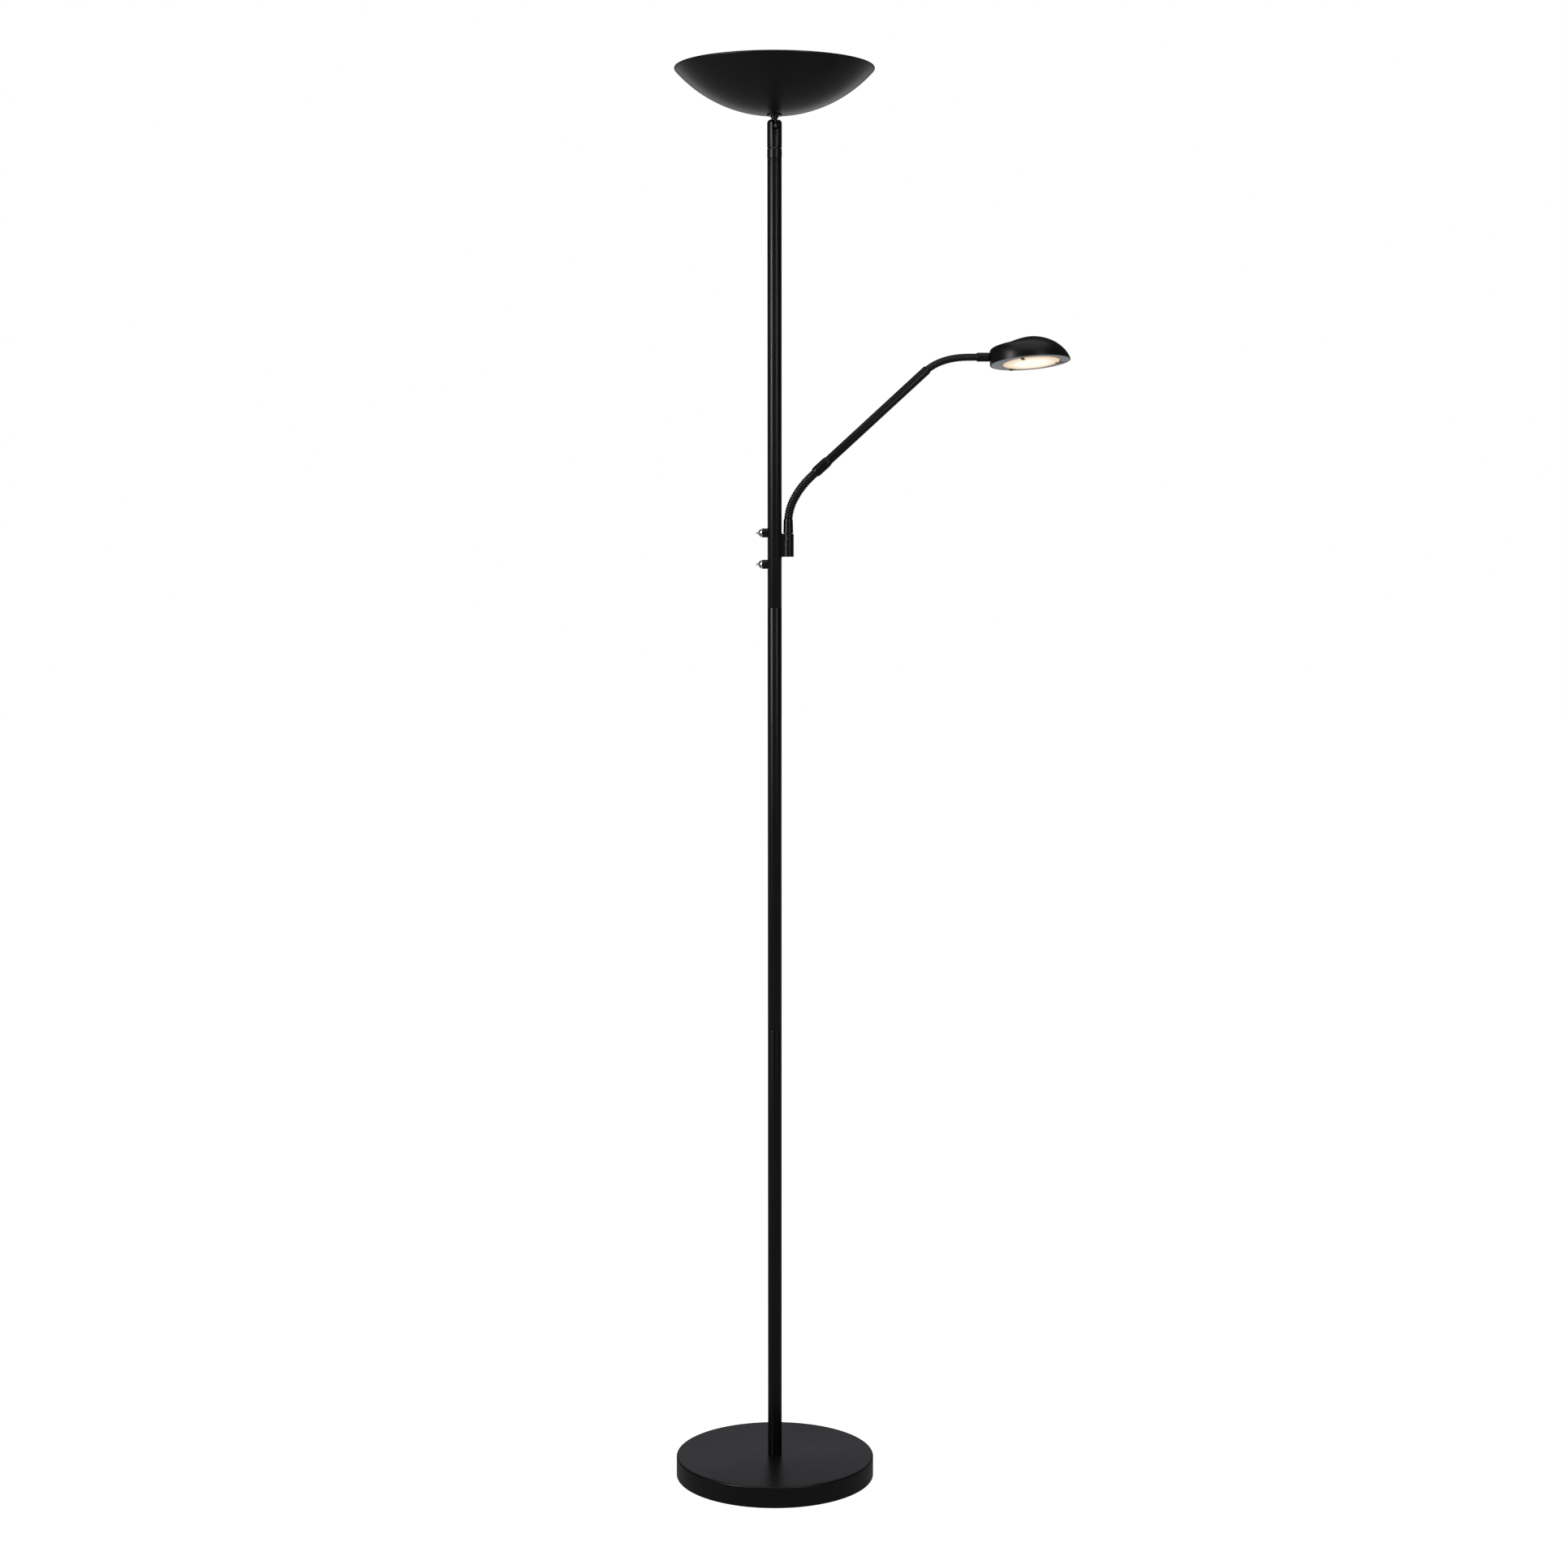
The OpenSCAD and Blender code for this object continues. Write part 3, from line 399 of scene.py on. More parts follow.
def turned(name, profile, steps=96, closed=True):
    """Spins a profile of (radius, height) points in millimetres into a piece."""
    points = [Vector((r * MM, 0, z * MM)) for r, z in profile]
    if closed:
        points.append(points[0])
    bpy.ops.object.select_all(action="DESELECT")
    bpy.ops.mesh.primitive_plane_add(size=MM, location=points[0])
    piece = bpy.context.object
    piece.name = piece.data.name = name
    bpy.ops.object.mode_set(mode="EDIT")
    bpy.ops.mesh.select_all(action="SELECT")
    bpy.ops.mesh.merge(type="CENTER")
    for here, there in zip(points, points[1:]):
        bpy.ops.mesh.extrude_region_move(TRANSFORM_OT_translate={"value": there - here})
    bpy.ops.mesh.select_all(action="SELECT")
    bpy.ops.mesh.spin(steps=steps, angle=math.tau, center=(0, 0, 0), axis=(0, 0, 1))
    bpy.ops.mesh.select_all(action="SELECT")
    bpy.ops.mesh.remove_doubles(threshold=0.002 * MM)
    bpy.ops.mesh.normals_make_consistent(inside=False)
    bpy.ops.object.mode_set(mode="OBJECT")
    bpy.ops.object.transform_apply(location=True, rotation=True, scale=True)
    return piece


def block(name, size, centre):
    """A box in millimetres."""
    bpy.ops.object.select_all(action="DESELECT")
    bpy.ops.mesh.primitive_cube_add(size=1)
    piece = bpy.context.object
    piece.name = piece.data.name = name
    piece.scale = Vector(size) * MM
    piece.location = Vector(centre) * MM
    bpy.ops.object.transform_apply(location=True, rotation=True, scale=True)
    return piece


def rod(name, radius, length, along, centre):
    """A round bar for cuts, laid along X, Y or Z, in millimetres."""
    tool = turned(name, [(0, -length / 2), (radius, -length / 2), (radius, length / 2),
                         (0, length / 2)], steps=64)
    turn = {"X": Matrix.Rotation(math.pi / 2, 4, "Y"), "Y": Matrix.Rotation(math.pi / 2, 4, "X"),
            "Z": Matrix()}[along]
    return put(tool, Matrix.Translation(Vector(centre) * MM) @ turn)


def finished(piece, body, slot, *nodes, smooth=32, finish=None):
    """Smooths and colours a piece, hangs it on its body and hides the CAD nodes it stands for."""
    only(piece)
    bpy.ops.object.shade_smooth_by_angle(angle=math.radians(smooth))
    piece.data.materials.clear()
    piece.data.materials.append(finish or finishes[slot])
    if body:
        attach(piece, body)
    if nodes:
        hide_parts(*nodes)
    print(piece.name, len(piece.data.polygons), "faces on", body)
    return piece


def reach(node):
    """Radius, bottom and top, in millimetres, of a CAD node round about the pole's axis."""
    low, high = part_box(node)
    return high.x / MM, low.z / MM, high.z / MM


# %% [markdown]
# ## Base
# The base is a cast iron disc inside a pressed steel cover, which is what keeps the lamp from
# tipping. The cover is a shallow pan: its top edge is a tight press radius, and its lower edge
# turns in slightly over the pad, which leaves a thin dark line at the floor.

# %% Base cover
base_r, base_low, base_top = reach("base_cover")
pole_r = reach("middle_pole_tube")[0]
EDGE, SHEET, HEM, POLE_HOLE_R = 2.4, 1.2, 0.9, 6
base = turned("base_pan", [
    (POLE_HOLE_R, base_top), *arc(base_r - EDGE, base_top - EDGE, EDGE, 90, 0, 8),
    (base_r, base_low + 1.2), *arc(base_r - HEM, base_low + HEM, HEM, 0, -90, 4),
    (base_r - SHEET - 0.6, base_low), (base_r - SHEET - 0.6, base_low + 1.2),
    (base_r - SHEET, base_low + 2), *arc(base_r - EDGE, base_top - EDGE, EDGE - SHEET, 0, 90, 4),
    (POLE_HOLE_R, base_top - SHEET)], steps=192)
finished(base, "stand", "black_coat", "base_cover", smooth=40)

# %% [markdown]
# ## Pole
# Three tubes screw together. Where two meet, each end has a small turned chamfer, so the joint
# shows as a fine dark line with a thread of light beside it.

# %% Pole tubes
TUBE_WALL = 1
for node in ("lower_pole_tube", "middle_pole_tube", "upper_pole_tube"):
    radius, low, high = reach(node)
    tube = turned(node.replace("_tube", "_length"), [
        (radius - 0.35, low), (radius - 0.08, low + 0.12), (radius, low + 0.4),
        (radius, high - 0.4), (radius - 0.08, high - 0.12), (radius - 0.35, high),
        (radius - TUBE_WALL, high), (radius - TUBE_WALL, low)])
    finished(tube, "stand", "black_coat", node, smooth=28)

# %% Swivel ring
SPIGOT_R = 5.6
ring_r, ring_low, ring_high = reach("swivel_ring")
ring = turned("turning_collar", [
    (SPIGOT_R, ring_low), (ring_r - 1, ring_low), (ring_r - 1, ring_low + 0.5),
    (ring_r - 0.3, ring_low + 0.5), (ring_r, ring_low + 0.8), (ring_r, ring_high - 0.5),
    (ring_r - 0.3, ring_high - 0.2), (ring_r - 1, ring_high), (SPIGOT_R, ring_high)])
finished(ring, "stand", "black_coat", "swivel_ring")

# %% [markdown]
# ## Knuckle
# A round fork turns on top of the pole and carries the bowl's stem on a cross pin. The fork is
# turned from bar, its sides are milled round about the pin, and a slot with a round bottom is
# milled through it. Here that is a spun profile and the same cuts as booleans, with the edges
# broken afterwards.

# %% Fork
tilt_axis = Vector(next(j["axis"] for j in frame["joints"] if j["name"] == "uplight_tilt"))
knuckle_turn = Matrix.Rotation(math.atan2(tilt_axis.y, tilt_axis.x), 4, "Z")
fork_r, fork_low, fork_high = reach("knuckle_fork")
pivot = hinges["uplight_tilt"].z / MM
PRONG_R, SLOT_HALF, EYE_R, FORK_ROUND, EYE_GAP = 8.6, 4.4, 5.7, 4.5, 0.8
FORK_BORE_R, FORK_BORE, WIRE_HOLE_R, PIN_R = 5.55, 11, 2.4, 2
fork = turned("tilt_fork", [
    (FORK_BORE_R, fork_low), (fork_r - 0.5, fork_low), (fork_r, fork_low + 0.5),
    *arc(fork_r - FORK_ROUND, fork_high - FORK_ROUND, FORK_ROUND, 0, 90, 8),
    (WIRE_HOLE_R, fork_high), (WIRE_HOLE_R, fork_low + FORK_BORE),
    (FORK_BORE_R, fork_low + FORK_BORE)])
keep = rod("keep", PRONG_R, 24, "X", (0, 0, pivot))
cut(keep, block("below", (30, 30, 60), (0, 0, pivot - 30)), "UNION")
cut(fork, keep, "INTERSECT")
slot_z = pivot - EYE_R + SLOT_HALF - EYE_GAP
slot = rod("slot", SLOT_HALF, 30, "Y", (0, 0, slot_z))
cut(slot, block("above", (2 * SLOT_HALF, 30, 30), (0, 0, slot_z + 15)), "UNION")
cut(fork, slot)
cut(fork, rod("pin_hole", PIN_R, 30, "X", (0, 0, pivot)))
soften(fork, 0.3, segments=2, angle=40)
put(fork, knuckle_turn)
finished(fork, "knuckle", "black_coat", "knuckle_fork", smooth=38)

# %% [markdown]
# The stem's eye is bare metal with a round edge, and dark. Above it the stem is sleeved in
# black up to the ring under the bowl.

# %% Eye and stem
flange_r, flange_low, flange_high = reach("bowl_flange")
EYE_ROUND, STEM_BORE_R, STEM_R, SLEEVE_FOOT = 4, 1.75, 3.75, 3.6
eye = turned("tilt_eye", arc(EYE_R - EYE_ROUND, 0, EYE_ROUND, -85, 85, 12), steps=64)
put(eye, Matrix.Translation((0, 0, pivot * MM)) @ knuckle_turn
    @ Matrix.Rotation(math.pi / 2, 4, "Y"))
finished(eye, "uplight", "tongue", "knuckle_tongue", smooth=50)
stud_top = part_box("knuckle_tongue")[1].z / MM
stem = turned("bowl_stem", [
    (STEM_BORE_R, pivot + SLEEVE_FOOT), (STEM_R - 0.15, pivot + SLEEVE_FOOT),
    (STEM_R, pivot + 3.8), (STEM_R, pivot + 8.8), (STEM_R + 0.85, pivot + 9.1),
    (STEM_R + 1, pivot + 9.3), (STEM_R + 1, flange_low), (STEM_R + 0.2, flange_low),
    (STEM_R + 0.2, stud_top - 0.5), (STEM_R - 0.25, stud_top), (STEM_BORE_R, stud_top)], steps=64)
finished(stem, "uplight", "black_coat")

# %% [markdown]
# ## Bowl
# The bowl is spun from sheet steel: a shallow part of a sphere whose edge is rolled over into a
# small bead. A ring under it and a nut inside clamp it to the stem. Deep inside, out of sight
# from the side, an opal cover lies over the diodes; its face is slightly domed.

# %% Bowl and ring
bowl_r, bowl_low, bowl_high = reach("bowl")
SHEET_BOWL, BEAD, BOWL_HOLE_R, BEAD_RISE = 1.2, 1.4, 4, 2.2
bowl_depth = bowl_high - bowl_low - BEAD_RISE
bowl_ball = (bowl_r ** 2 + bowl_depth ** 2) / (2 * bowl_depth)


def bowl_arc(radius, start, end, count):
    """Points on the bowl's round, between two distances from its axis."""
    first, last = (math.degrees(math.asin(r / radius)) - 90 for r in (start, end))
    return arc(0, bowl_low + bowl_ball, radius, first, last, count)


bowl = turned("spun_bowl", [
    *bowl_arc(bowl_ball, BOWL_HOLE_R, bowl_r - 0.5, 40),
    *arc(bowl_r - BEAD, bowl_high - BEAD, BEAD, -15, 205, 10),
    *bowl_arc(bowl_ball - SHEET_BOWL, bowl_r - 3.4, BOWL_HOLE_R, 40)], steps=160)
finished(bowl, "uplight", "black_coat", "bowl", smooth=50)
washer = turned("bowl_ring", [
    (BOWL_HOLE_R, flange_low), (flange_r - 0.4, flange_low), (flange_r, flange_low + 0.4),
    (flange_r, flange_high), (BOWL_HOLE_R, flange_high)], steps=64)
finished(washer, "uplight", "black_coat", "bowl_flange")

# %% Opal cover
OPAL_WALL, OPAL_ROUND = 1.6, 4
cover_r, cover_low, cover_high = reach("diffuser")
round_at = cover_r - OPAL_ROUND, cover_high - 5.2
cover = turned("opal_cover", [
    (0, cover_high), (25, cover_high - 0.1), (50, cover_high - 0.45), (66, cover_high - 0.95),
    *arc(*round_at, OPAL_ROUND, 78, 0, 8), (cover_r, cover_low),
    (cover_r - OPAL_WALL, cover_low), (cover_r - OPAL_WALL, cover_high - 5),
    *arc(*round_at, OPAL_ROUND - OPAL_WALL, 0, 78, 5), (60, cover_high - 2.4),
    (0, cover_high - OPAL_WALL)], steps=128)
finishes["opal"] = glowing("opal", (0, 0, cover_high * MM), cover_r * MM, (1.0, 0.96, 0.8),
                           (0.8, 0.58, 0.38), 1.0, 0.45)
finished(cover, "uplight", "opal", "diffuser", smooth=50)

# %% [markdown]
# ## Dimmers
# Two rotary dimmers sit one above the other on the side away from the arm. Each is a black
# barrel that stands off the pole, with a domed chromed knob that ends in a small nub.

# %% Dimmer knobs
KNOB_DOME, SPINDLE_R, SPINDLE, NUB_R, NUB_UP, KNOB_OUT = 4.4, 1.5, 12, 1.4, 1.5, 16.3
for node, body in (("upper_knob", "upper_dimmer_knob"), ("lower_knob", "lower_dimmer_knob")):
    low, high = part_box(node)
    knob_r = (high.z / MM - low.z / MM) / 2
    ball = (knob_r ** 2 + KNOB_DOME ** 2) / (2 * KNOB_DOME)
    sweep = math.degrees(math.asin(knob_r / ball))
    crown = [p for p in arc(0, KNOB_DOME - ball, ball, 90 - sweep, 80, 12) if p[0] > NUB_R]
    spin_knob = turned(node.replace("knob", "dome"), [
        (SPINDLE_R, 0), (knob_r - 0.3, 0), (knob_r, 0.25), *crown[1:],
        (1.1, KNOB_DOME + 0.1), (0.95, KNOB_DOME + 0.45),
        *arc(0, KNOB_DOME + NUB_UP, NUB_R, -45, 90, 8), (0, -SPINDLE), (SPINDLE_R, -SPINDLE)],
        steps=64)
    centre = Vector((-KNOB_OUT * MM, 0, (low.z + high.z) / 2))
    put(spin_knob, Matrix.Translation(centre) @ Matrix.Rotation(math.radians(-90), 4, "Y"))
    finished(spin_knob, body, "chrome", node)

# %% Dimmer barrels
barrel_low, barrel_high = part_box("dimmer_barrels")
barrel_r = barrel_high.y / MM
BARREL_LEN, BARREL_BORE_R = 9.6, 1.6
for node, others in (("upper_knob", ("dimmer_barrels",)), ("lower_knob", ())):
    low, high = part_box(node)
    barrel = turned(node.replace("knob", "barrel"), [
        (BARREL_BORE_R, 0), (barrel_r - 0.55, 0), (barrel_r - 0.15, 0.15), (barrel_r, 0.55),
        (barrel_r, BARREL_LEN), (BARREL_BORE_R, BARREL_LEN)], steps=64)
    put(barrel, Matrix.Translation((barrel_low.x, 0, (low.z + high.z) / 2))
        @ Matrix.Rotation(math.pi / 2, 4, "Y"))
    cut(barrel, rod("pole", pole_r, 40, "Z", (0, 0, (low.z + high.z) / 2 / MM)))
    finished(barrel, "stand", "black_coat", *others)

# %% [markdown]
# ## Arm foot
# The bracket is a socket on a short web that is filleted onto the pole. A screw in a shallow
# round-bottomed recess locks the arm. The ferrule turns in the socket and holds the lower end
# of the flexible neck. Its top tapers a little and is bored, and the neck goes down into it.

# %% Bracket
mount_low, mount_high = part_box("arm_bracket")
low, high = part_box("arm_ferrule")
arm_axis = Vector((low.x + high.x, 0, 0)) / 2
arm_out = arm_axis.x / MM
BORE_R, FILLET, FOOT_SPREAD, RECESS_R, RECESS_DEPTH = 4.75, 1.2, 2, 2.5, 0.45
socket_r = mount_high.y / MM
web_low, web_high = mount_low.z / MM + FOOT_SPREAD, mount_high.z / MM - FOOT_SPREAD
web_mid, socket_high = (web_low + web_high) / 2, web_high - web_low
web = block("arm_mount", (6.2, 10, socket_high + 2 * FOOT_SPREAD), (pole_r + 1.4, 0, web_mid))
for level, out in ((web_low, -1), (web_high, 1)):
    cut(web, rod("fillet", FILLET, 20, "Y", (pole_r + FILLET, 0, level + out * FILLET)))
    cut(web, block("past", (8, 20, 6), (pole_r + FILLET + 4, 0, level + out * 3)))
socket = turned("socket", [
    (0, web_low), (socket_r - 0.5, web_low), (socket_r, web_low + 0.5),
    (socket_r, web_high - 0.7), (socket_r - 0.7, web_high), (0, web_high)])
cut(web, put(socket, Matrix.Translation(arm_axis)), "UNION")
cut(web, rod("bore", BORE_R, socket_high, "Z", (arm_out, 0, web_mid + 2.2)))
cut(web, rod("pole", pole_r, 60, "Z", (0, 0, web_mid)))
screw_low, screw_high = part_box("bracket_grub_screw")
screw = (screw_low + screw_high) / 2
recess = rod("recess", RECESS_R, 5, "Y", (0, 0, 0))
cut(recess, block("rise", (2 * RECESS_R, 5, 12), (0, 0, 6)), "UNION")
away = Vector((screw.x - arm_axis.x, screw.y, 0)).normalized()
put(recess, Matrix.Translation(arm_axis + away * socket_r * MM + Vector((0, 0, screw.z)))
    @ Matrix.Rotation(math.atan2(away.x, -away.y), 4, "Z"))
skin = turned("skin", [
    (socket_r - RECESS_DEPTH, web_low), (socket_r + 5, web_low),
    (socket_r + 5, web_high + 9), (socket_r - RECESS_DEPTH, web_high + 9)])
cut(recess, put(skin, Matrix.Translation(arm_axis)), "INTERSECT")
cut(web, recess)
soften(web, 0.2, segments=2, angle=40)
finished(web, "stand", "black_coat", "arm_bracket", smooth=38)

# %% Ferrule
FERRULE_HIGH, FERRULE_SPIGOT, FERRULE_SPIGOT_R, WIRE_BORE_R = 18.1, 23, 4.6, 1.9
mouth = hinges["lower_neck_bend_1"].z / MM - 1
ferrule_r = (high.x - low.x) / MM / 2
foot_low = mouth - FERRULE_HIGH
ferrule = turned("neck_foot", [
    (ferrule_r - 0.4, foot_low), (ferrule_r, foot_low + 0.4), (ferrule_r - 0.35, mouth - 2.4),
    (ferrule_r - 0.5, mouth - 0.8), (ferrule_r - 0.7, mouth), (ferrule_r - 0.78, mouth - 0.4),
    (ferrule_r - 0.78, mouth - 4), (WIRE_BORE_R, mouth - 4),
    (WIRE_BORE_R, foot_low - FERRULE_SPIGOT), (FERRULE_SPIGOT_R, foot_low - FERRULE_SPIGOT),
    (FERRULE_SPIGOT_R, foot_low)], steps=64)
put(ferrule, Matrix.Translation(arm_axis))
finished(ferrule, "arm_foot", "black_coat", "arm_ferrule")

# %% [markdown]
# ## Flexible necks
# A flexible neck is a spring of round wire with a wedge-shaped wire wound into its grooves, so
# it stays where it is bent. Its outside is a row of smooth rounded ribs. The CAD model stands in
# for it with short links. Here each joint gets a length of ribbed hose that runs from the middle
# of one link to the middle of the next. It is modelled straight and bent along a path with a
# curve modifier.

# %% Hose lengths
HOSE_BORE_R = 2.4
# how far the hose reaches before a neck's first joint and past its last, into the pieces there
REACH_BEFORE, REACH_PAST = 3.6, 3.2
# where the points of one rib lie along it, closer together where the rib is steep
RIB_STEPS = (0, 0.04, 0.13, 0.27, 0.5, 0.73, 0.87, 0.96)


def slope_between(a, b):
    """How steeply the line from a to b climbs towards +X, in degrees."""
    return math.degrees(math.atan2(b.z - a.z, b.x - a.x))


def bent_path(start, start_slope, end, end_slope):
    """A curve between two points that leaves and arrives at the given slopes."""
    bpy.ops.object.select_all(action="DESELECT")
    bpy.ops.curve.primitive_bezier_curve_add()
    path = bpy.context.object
    path.data.resolution_u = 32
    handle = (end - start).length / 3
    for point, place, slope in zip(path.data.splines[0].bezier_points, (start, end),
                                   (start_slope, end_slope)):
        along = Vector((math.cos(math.radians(slope)), 0, math.sin(math.radians(slope))))
        point.handle_left_type = point.handle_right_type = "FREE"
        point.co = place
        point.handle_left, point.handle_right = place - handle * along, place + handle * along
    return path


def hose_length(name, path, pitch, crest, groove, steps=40):
    """Ribbed hose as long as a path, bent along it. Sizes in millimetres."""
    length = path.data.splines[0].calc_length() / MM
    count = max(2, round(length / pitch))
    rib = length / count
    ribs = []
    for k in range(count):
        for part in RIB_STEPS:
            swell = math.sqrt(max(0, 1 - (2 * part - 1) ** 2))
            ribs.append((groove + (crest - groove) * swell, (k + part) * rib))
    inside = [(HOSE_BORE_R, length * (count - k) / count) for k in range(count + 1)]
    hose = turned(name, [*ribs, (groove, length), *inside], steps=steps)
    modify(hose, "CURVE", object=path, deform_axis="POS_Z")
    bpy.data.objects.remove(path)
    return hose


def make_neck(name, joint_names, links, entry, pitch, crest, groove):
    """Hose lengths for every joint of a neck; entry is the slope at each of its two ends."""
    points = [hinges[joint] for joint in joint_names]
    slopes = [entry[0], *map(slope_between, points, points[1:]), entry[1]]
    half = (points[1] - points[0]).length / 2
    for k, point in enumerate(points):
        back, ahead = (Vector((math.cos(math.radians(s)), 0, math.sin(math.radians(s))))
                       for s in (slopes[k], slopes[k + 1]))
        first, last = k == 0, k == len(points) - 1
        start = point - back * (REACH_BEFORE * MM if first else half)
        end = point + ahead * (REACH_PAST * MM if last else half)
        path = bent_path(start, slopes[k], end, slopes[k + 1])
        hose = hose_length(f"{name}_hose_{k + 1}", path, pitch, crest, groove)
        finished(hose, None, "neck_black", *([] if last else [links[k]]), smooth=50)
        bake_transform(hose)


# %% Lower neck
low_bodies = ["arm_foot", *(f"lower_neck_link_{k}" for k in range(1, 6)), "reading_arm"]
low_joints = [f"lower_neck_{way}_{k}" for k in (1, 2, 3) for way in ("bend", "side")]
high_joints = [f"upper_neck_{way}_{k}" for k in (1, 2, 3) for way in ("bend", "side")]
high_joints.append("upper_neck_bend_4")
arm_slope = slope_between(hinges[low_joints[-1]], hinges[high_joints[0]])
make_neck("lower", low_joints, low_bodies[1:-1], (90, arm_slope), 3.35, 5.45, 4.5)

# %% Upper neck
high_bodies = ["reading_arm", *(f"upper_neck_link_{k}" for k in range(1, 7)), "reading_head"]
make_neck("upper", high_joints, high_bodies[1:-1], (arm_slope, 0), 2.65, 4.7, 3.9)

# %% [markdown]
# ## Arm tube
# Between the two necks runs a plain painted tube. A slightly thicker sleeve with tapered ends
# joins it to the lower neck.

# %% Tube and sleeve
tube_start = hinges[low_joints[-1]]
tube_len = (hinges[high_joints[0]] - tube_start).length / MM - 1
TUBE_R, SLEEVE_R, SLEEVE_END, TUBE_FROM, POCKET_R = 5.7, 6.7, 24.8, 9, 5.6
sleeve = turned("arm_collar", [
    (POCKET_R, 0.75), (SLEEVE_R - 0.9, 0.75), (SLEEVE_R - 0.6, 1.1), (SLEEVE_R - 0.05, 4),
    (SLEEVE_R, 4.6), (SLEEVE_R, 20.4), (SLEEVE_R - 0.05, 21), (SLEEVE_R - 0.75, 24.4),
    (SLEEVE_R - 1, SLEEVE_END), (TUBE_R, SLEEVE_END), (TUBE_R, TUBE_FROM),
    (WIRE_BORE_R, TUBE_FROM), (WIRE_BORE_R, 4.5), (POCKET_R, 4.5)], steps=64)
put(sleeve, aimed(tube_start, arm_slope))
finished(sleeve, "reading_arm", "black_coat", "arm_sleeve")
tube = turned("arm_length", [
    (TUBE_R - 1, TUBE_FROM), (TUBE_R, TUBE_FROM), (TUBE_R, tube_len - 0.6),
    (TUBE_R - 0.2, tube_len - 0.15),
    (TUBE_R - 0.5, tube_len), (TUBE_R - 0.9, tube_len), (TUBE_R - 0.95, tube_len - 0.4),
    (TUBE_R - 0.95, tube_len - 5), (TUBE_R - 1, tube_len - 5)], steps=64)
put(tube, aimed(tube_start, arm_slope))
finished(tube, "reading_arm", "black_coat", "arm_tube", "arm_tube_bush")

# %% [markdown]
# ## Reading head
# The head is a moulded shell like a flattened pebble, steep where the neck enters and falling
# away at the far end. It is built up from the open rim: an oval edge loop is extruded and
# scaled level by level, closed at the top, and smoothed with subdivision. A solidify modifier
# then gives it a wall.

# %% Head shell
HEAD_PITCH, HEAD_ROLL, HEAD_RISE, FERRULE_LEN = 4.2, 8.5, 10.8, 16.6
neck_end = hinges[high_joints[-1]]
head_turn = (Matrix.Rotation(math.radians(-HEAD_PITCH), 4, "Y")
             @ Matrix.Rotation(math.radians(-HEAD_ROLL), 4, "X"))
HEAD_A, HEAD_B, HEAD_WALL = 51, 44, 1.6
wall_point = neck_end + Vector((FERRULE_LEN * MM, 0, 0))
head_place = (Matrix.Translation(wall_point - head_turn @ Vector((-HEAD_A, 0, HEAD_RISE)) * MM)
              @ head_turn)
# height, reach towards the neck, reach away from it, half width
HEAD_LEVELS = (
    (0, 51, 51, 44), (1.2, 51, 51, 44), (6.5, 51, 48.9, 43.5), (11, 50.9, 46.1, 42.3),
    (15.5, 50.7, 42.4, 40.2), (19, 50, 38.7, 37.6), (21.9, 46.8, 35.2, 34.6),
    (23.5, 36.5, 32.2, 31.8), (25.2, 29, 29.2, 28.8), (27.4, 22.4, 24.4, 24.8),
    (29.4, 15.6, 18, 19.6), (30.9, 7.6, 11, 12.4), (31.5, 1.6, 6.2, 5.2))


def head_loops(name, levels):
    """An oval shell, one extruded and scaled edge loop for each level."""
    bpy.ops.object.select_all(action="DESELECT")
    bpy.ops.mesh.primitive_circle_add(vertices=32, radius=1, fill_type="NOTHING")
    piece = bpy.context.object
    piece.name = piece.data.name = name
    piece.scale = (HEAD_A * MM, HEAD_B * MM, 1)
    bpy.ops.object.transform_apply(location=True, rotation=True, scale=True)
    bpy.ops.object.mode_set(mode="EDIT")
    bpy.ops.mesh.select_all(action="SELECT")
    for (z0, l0, r0, w0), (z1, l1, r1, w1) in zip(levels, levels[1:]):
        shift = ((r1 - l1) - (r0 - l0)) / 2
        bpy.ops.mesh.extrude_region_move(
            TRANSFORM_OT_translate={"value": (shift * MM, 0, (z1 - z0) * MM)})
        bpy.ops.transform.resize(value=((l1 + r1) / (l0 + r0), w1 / w0, 1),
                                 center_override=((r1 - l1) / 2 * MM, 0, z1 * MM))
    bpy.ops.mesh.fill_grid(span=8)
    bpy.ops.mesh.select_all(action="SELECT")
    bpy.ops.mesh.normals_make_consistent(inside=False)
    bpy.ops.object.mode_set(mode="OBJECT")
    return piece


shell = head_loops("head_housing", HEAD_LEVELS)
modify(shell, "SUBSURF", levels=2, render_levels=2)
modify(shell, "SOLIDIFY", thickness=HEAD_WALL * MM, offset=-1, use_even_offset=True)
soften(shell, 0.4, angle=50)
put(shell, head_place)
finished(shell, "reading_head", "head_black", "head_shell", smooth=45)

# %% [markdown]
# ## Light opening of the head
# A silver-grey ring carries the round opal disc. Three small sprung clips and two screws hold it.

# %% Ring
LENS_X, LENS_Y, LENS_R, RING_INSET, RING_THICK = 1.5, 2, 35.5, 1.7, 1.2
bpy.ops.object.select_all(action="DESELECT")
bpy.ops.mesh.primitive_cylinder_add(vertices=128, radius=MM, depth=RING_THICK * MM)
plate = bpy.context.object
plate.name = plate.data.name = "head_trim"
plate.scale = (HEAD_A - RING_INSET, HEAD_B - RING_INSET, 1)
plate.location = (0, 0, RING_THICK / 2 * MM)
bpy.ops.object.transform_apply(location=True, rotation=True, scale=True)
hole = turned("hole", [(0, -3), (LENS_R + 0.15, -3), (LENS_R + 0.15, 4), (0, 4)], steps=128)
cut(plate, put(hole, Matrix.Translation((LENS_X * MM, LENS_Y * MM, 0))))
soften(plate, 0.2, segments=2, angle=40)
put(plate, head_place)
finished(plate, "reading_head", "silver_ring", "head_ring")

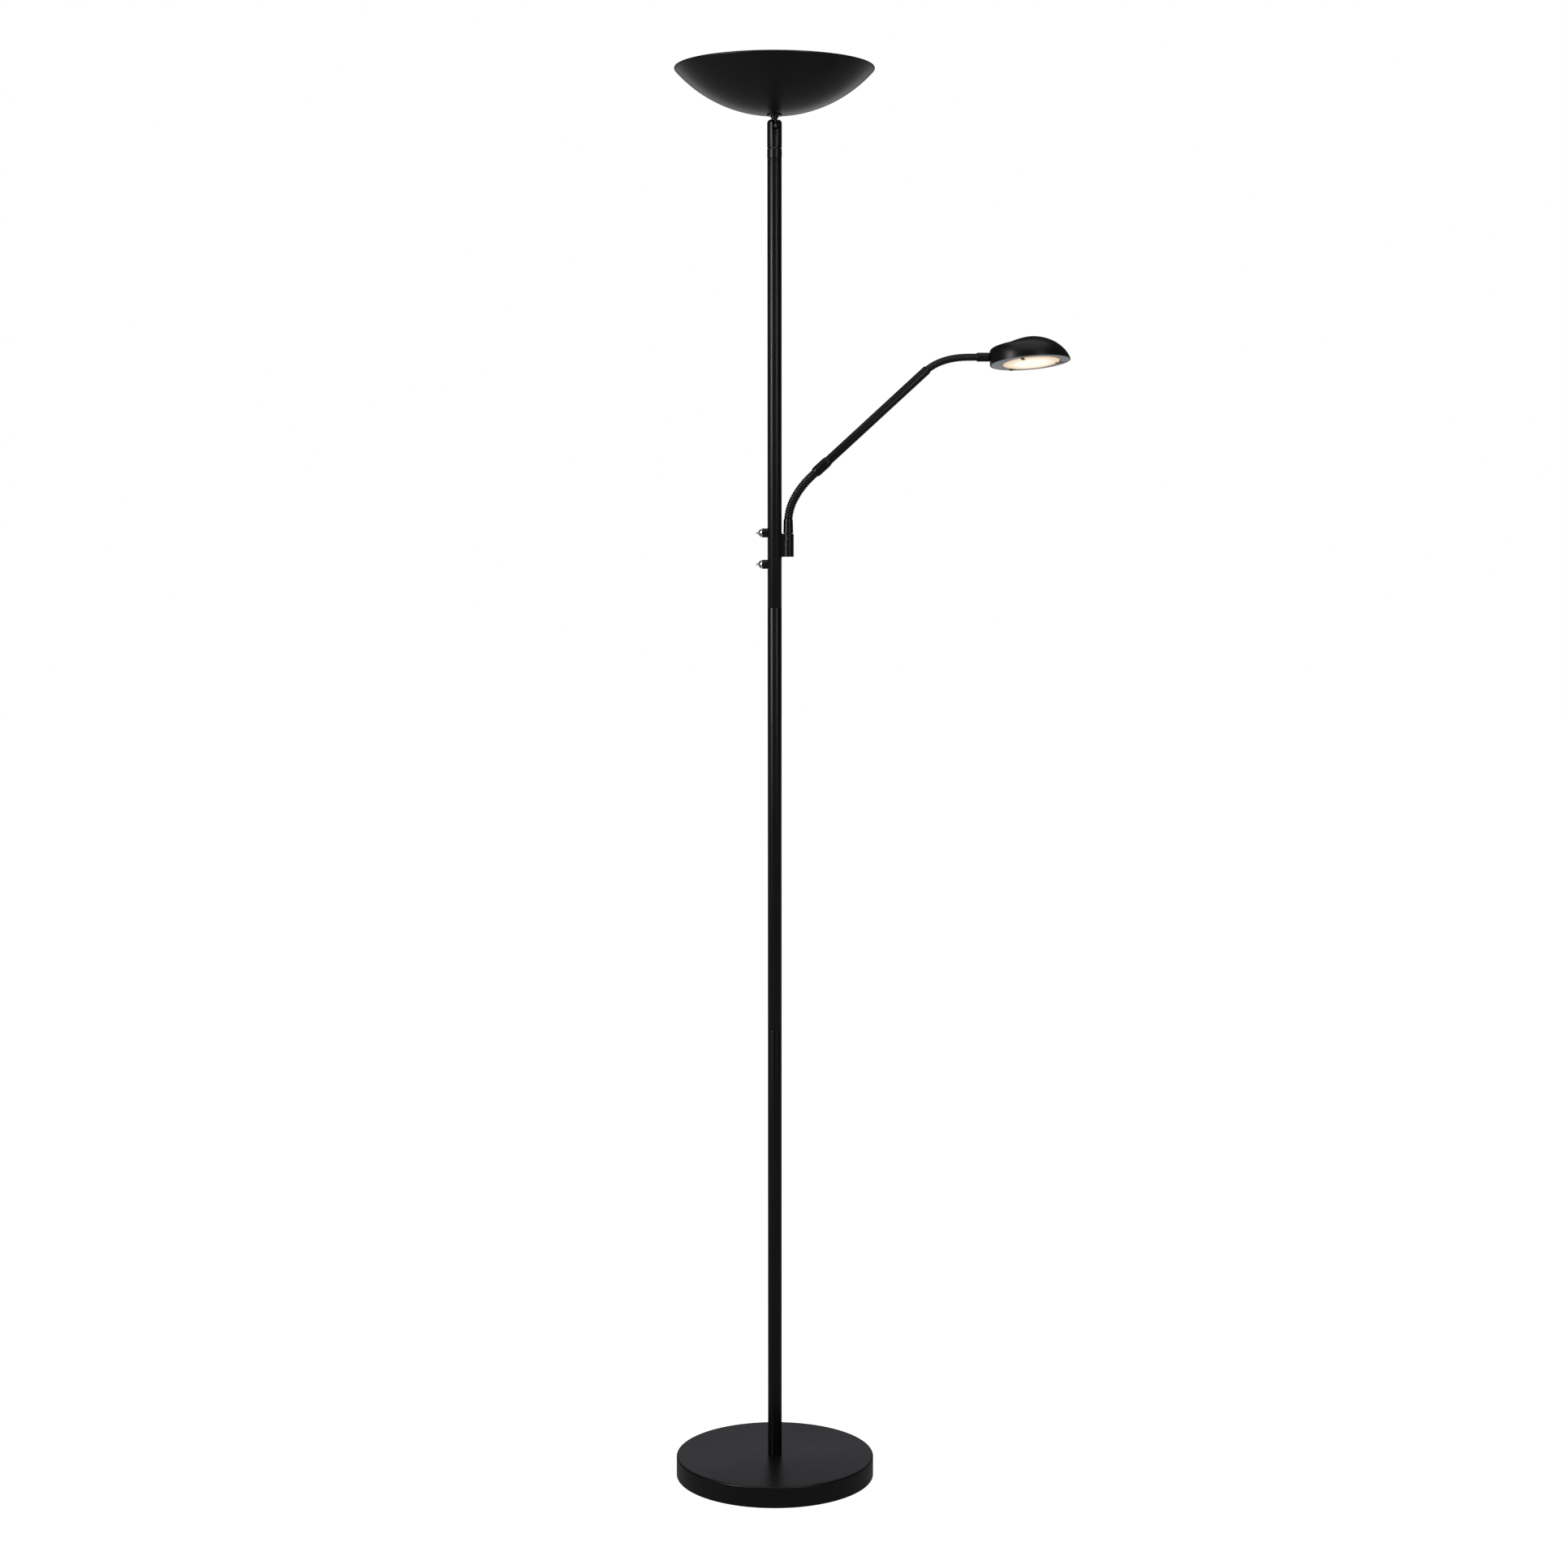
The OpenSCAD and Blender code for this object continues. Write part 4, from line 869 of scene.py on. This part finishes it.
# %% Opal disc
lens_centre = head_place @ Vector((LENS_X * MM, LENS_Y * MM, 0))
finishes["lens"] = glowing("lens", lens_centre, LENS_R * MM, (1.0, 0.98, 0.82),
                           (0.7, 0.48, 0.3), 1.0, 0.45)
lens = turned("opal_disc", [
    (0, -1.2), (8, -1.12), (16, -0.92), (24, -0.6), (30, -0.28), (34, -0.04), (35.1, 0.1),
    (LENS_R, 0.5), (LENS_R, 2), (0, 2)], steps=128)
put(lens, head_place @ Matrix.Translation((LENS_X * MM, LENS_Y * MM, 0)))
finished(lens, "reading_head", "lens", "head_lens")

# %% Clips
CLIP_WIDE = 4.4
for number, around in enumerate((-112, 8, 128), 1):
    tab = block(f"disc_clip_{number}", (8, CLIP_WIDE, 0.7), (LENS_R - 0.5, 0, -1.45))
    cut(tab, block("heel", (1.2, CLIP_WIDE, 1.3), (LENS_R + 2.9, 0, -0.55)), "UNION")
    soften(tab, 0.2, segments=2, angle=50)
    put(tab, head_place @ Matrix.Translation((LENS_X * MM, LENS_Y * MM, 0))
        @ Matrix.Rotation(math.radians(around), 4, "Z"))
    finished(tab, "reading_head", "steel", *(["head_clips"] if number == 1 else []),
             finish=finishes["clip"])

# %% Head ferrule
CUFF_R, CUFF_END, CUFF_BORE_R = 5.65, 17.2, 1.4
cuff = turned("head_cuff", [
    (4.85, 0.75), (5.1, 0.95), (CUFF_R - 0.05, 1.8), (CUFF_R, 2.4), (CUFF_R, 15.6),
    (CUFF_R - 0.15, 16.3), (CUFF_R - 0.45, CUFF_END), (CUFF_BORE_R, CUFF_END),
    (CUFF_BORE_R, 4), (4.8, 4), (4.8, 1)], steps=64)
put(cuff, aimed(neck_end, 0))
finished(cuff, "reading_head", "head_black", "head_ferrule")

# %% [markdown]
# ## What is left
# The CAD nodes that keep their own shape take the finish of their material slot from the
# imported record, so that even what is hidden inside has a real finish.

# %% Finishes of the CAD nodes
for row in frame["record"]["subparts"]:
    kept = frame["nodes"][row["node"]]
    kept.data.materials.clear()
    kept.data.materials.append(finishes[row["material_slot"]])

# %% [markdown]
# ## Floor
# The lamp stands on a plain pale floor that runs out of sight. To the camera it is nearly white.
# To everything else it gives off an even light, a little stronger far behind the lamp, so that
# the black paint mirrors a calm floor.

# %% Floor
FLOOR_SIZE, GLOW_SHARE, FLOOR_GLOW, FLOOR_FILL = 30, 0.5, 2.05, 0.4
NEAR_Y, FAR_Y, NEAR_SHINE, FAR_SHINE = 1.5, 9, 0.15, 0.5
bpy.ops.object.select_all(action="DESELECT")
bpy.ops.mesh.primitive_plane_add(size=FLOOR_SIZE)
floor = bpy.context.object
floor.name = "floor"
pale, tree, shader = new_material("pale_floor")
shader.inputs["Base Color"].default_value = (0.93, 0.93, 0.93, 1)
shader.inputs["Roughness"].default_value = 0.9
rays = add(tree, "ShaderNodeLightPath")
bright = add(tree, "ShaderNodeEmission", Strength=FLOOR_GLOW)
lit = add(tree, "ShaderNodeMixShader", Fac=GLOW_SHARE)
even = add(tree, "ShaderNodeEmission")
spot = add(tree, "ShaderNodeSeparateXYZ")
tree.links.new(add(tree, "ShaderNodeTexCoord").outputs["Object"], spot.inputs[0])
shine = add(tree, "ShaderNodeMix")
tree.links.new(rays.outputs["Is Glossy Ray"], shine.inputs["Factor"])
shine.inputs["A"].default_value = FLOOR_FILL
tree.links.new(ramp(tree, spot.outputs["Y"], NEAR_Y, FAR_Y, NEAR_SHINE, FAR_SHINE),
               shine.inputs["B"])
tree.links.new(shine.outputs[0], even.inputs["Strength"])
both = add(tree, "ShaderNodeMixShader")
for source, socket in (
        (shader.outputs[0], lit.inputs[1]), (bright.outputs[0], lit.inputs[2]),
        (rays.outputs["Is Camera Ray"], both.inputs["Fac"]), (even.outputs[0], both.inputs[1]),
        (lit.outputs[0], both.inputs[2]),
        (both.outputs[0], tree.nodes["Material Output"].inputs[0])):
    tree.links.new(source, socket)
floor.data.materials.append(pale)
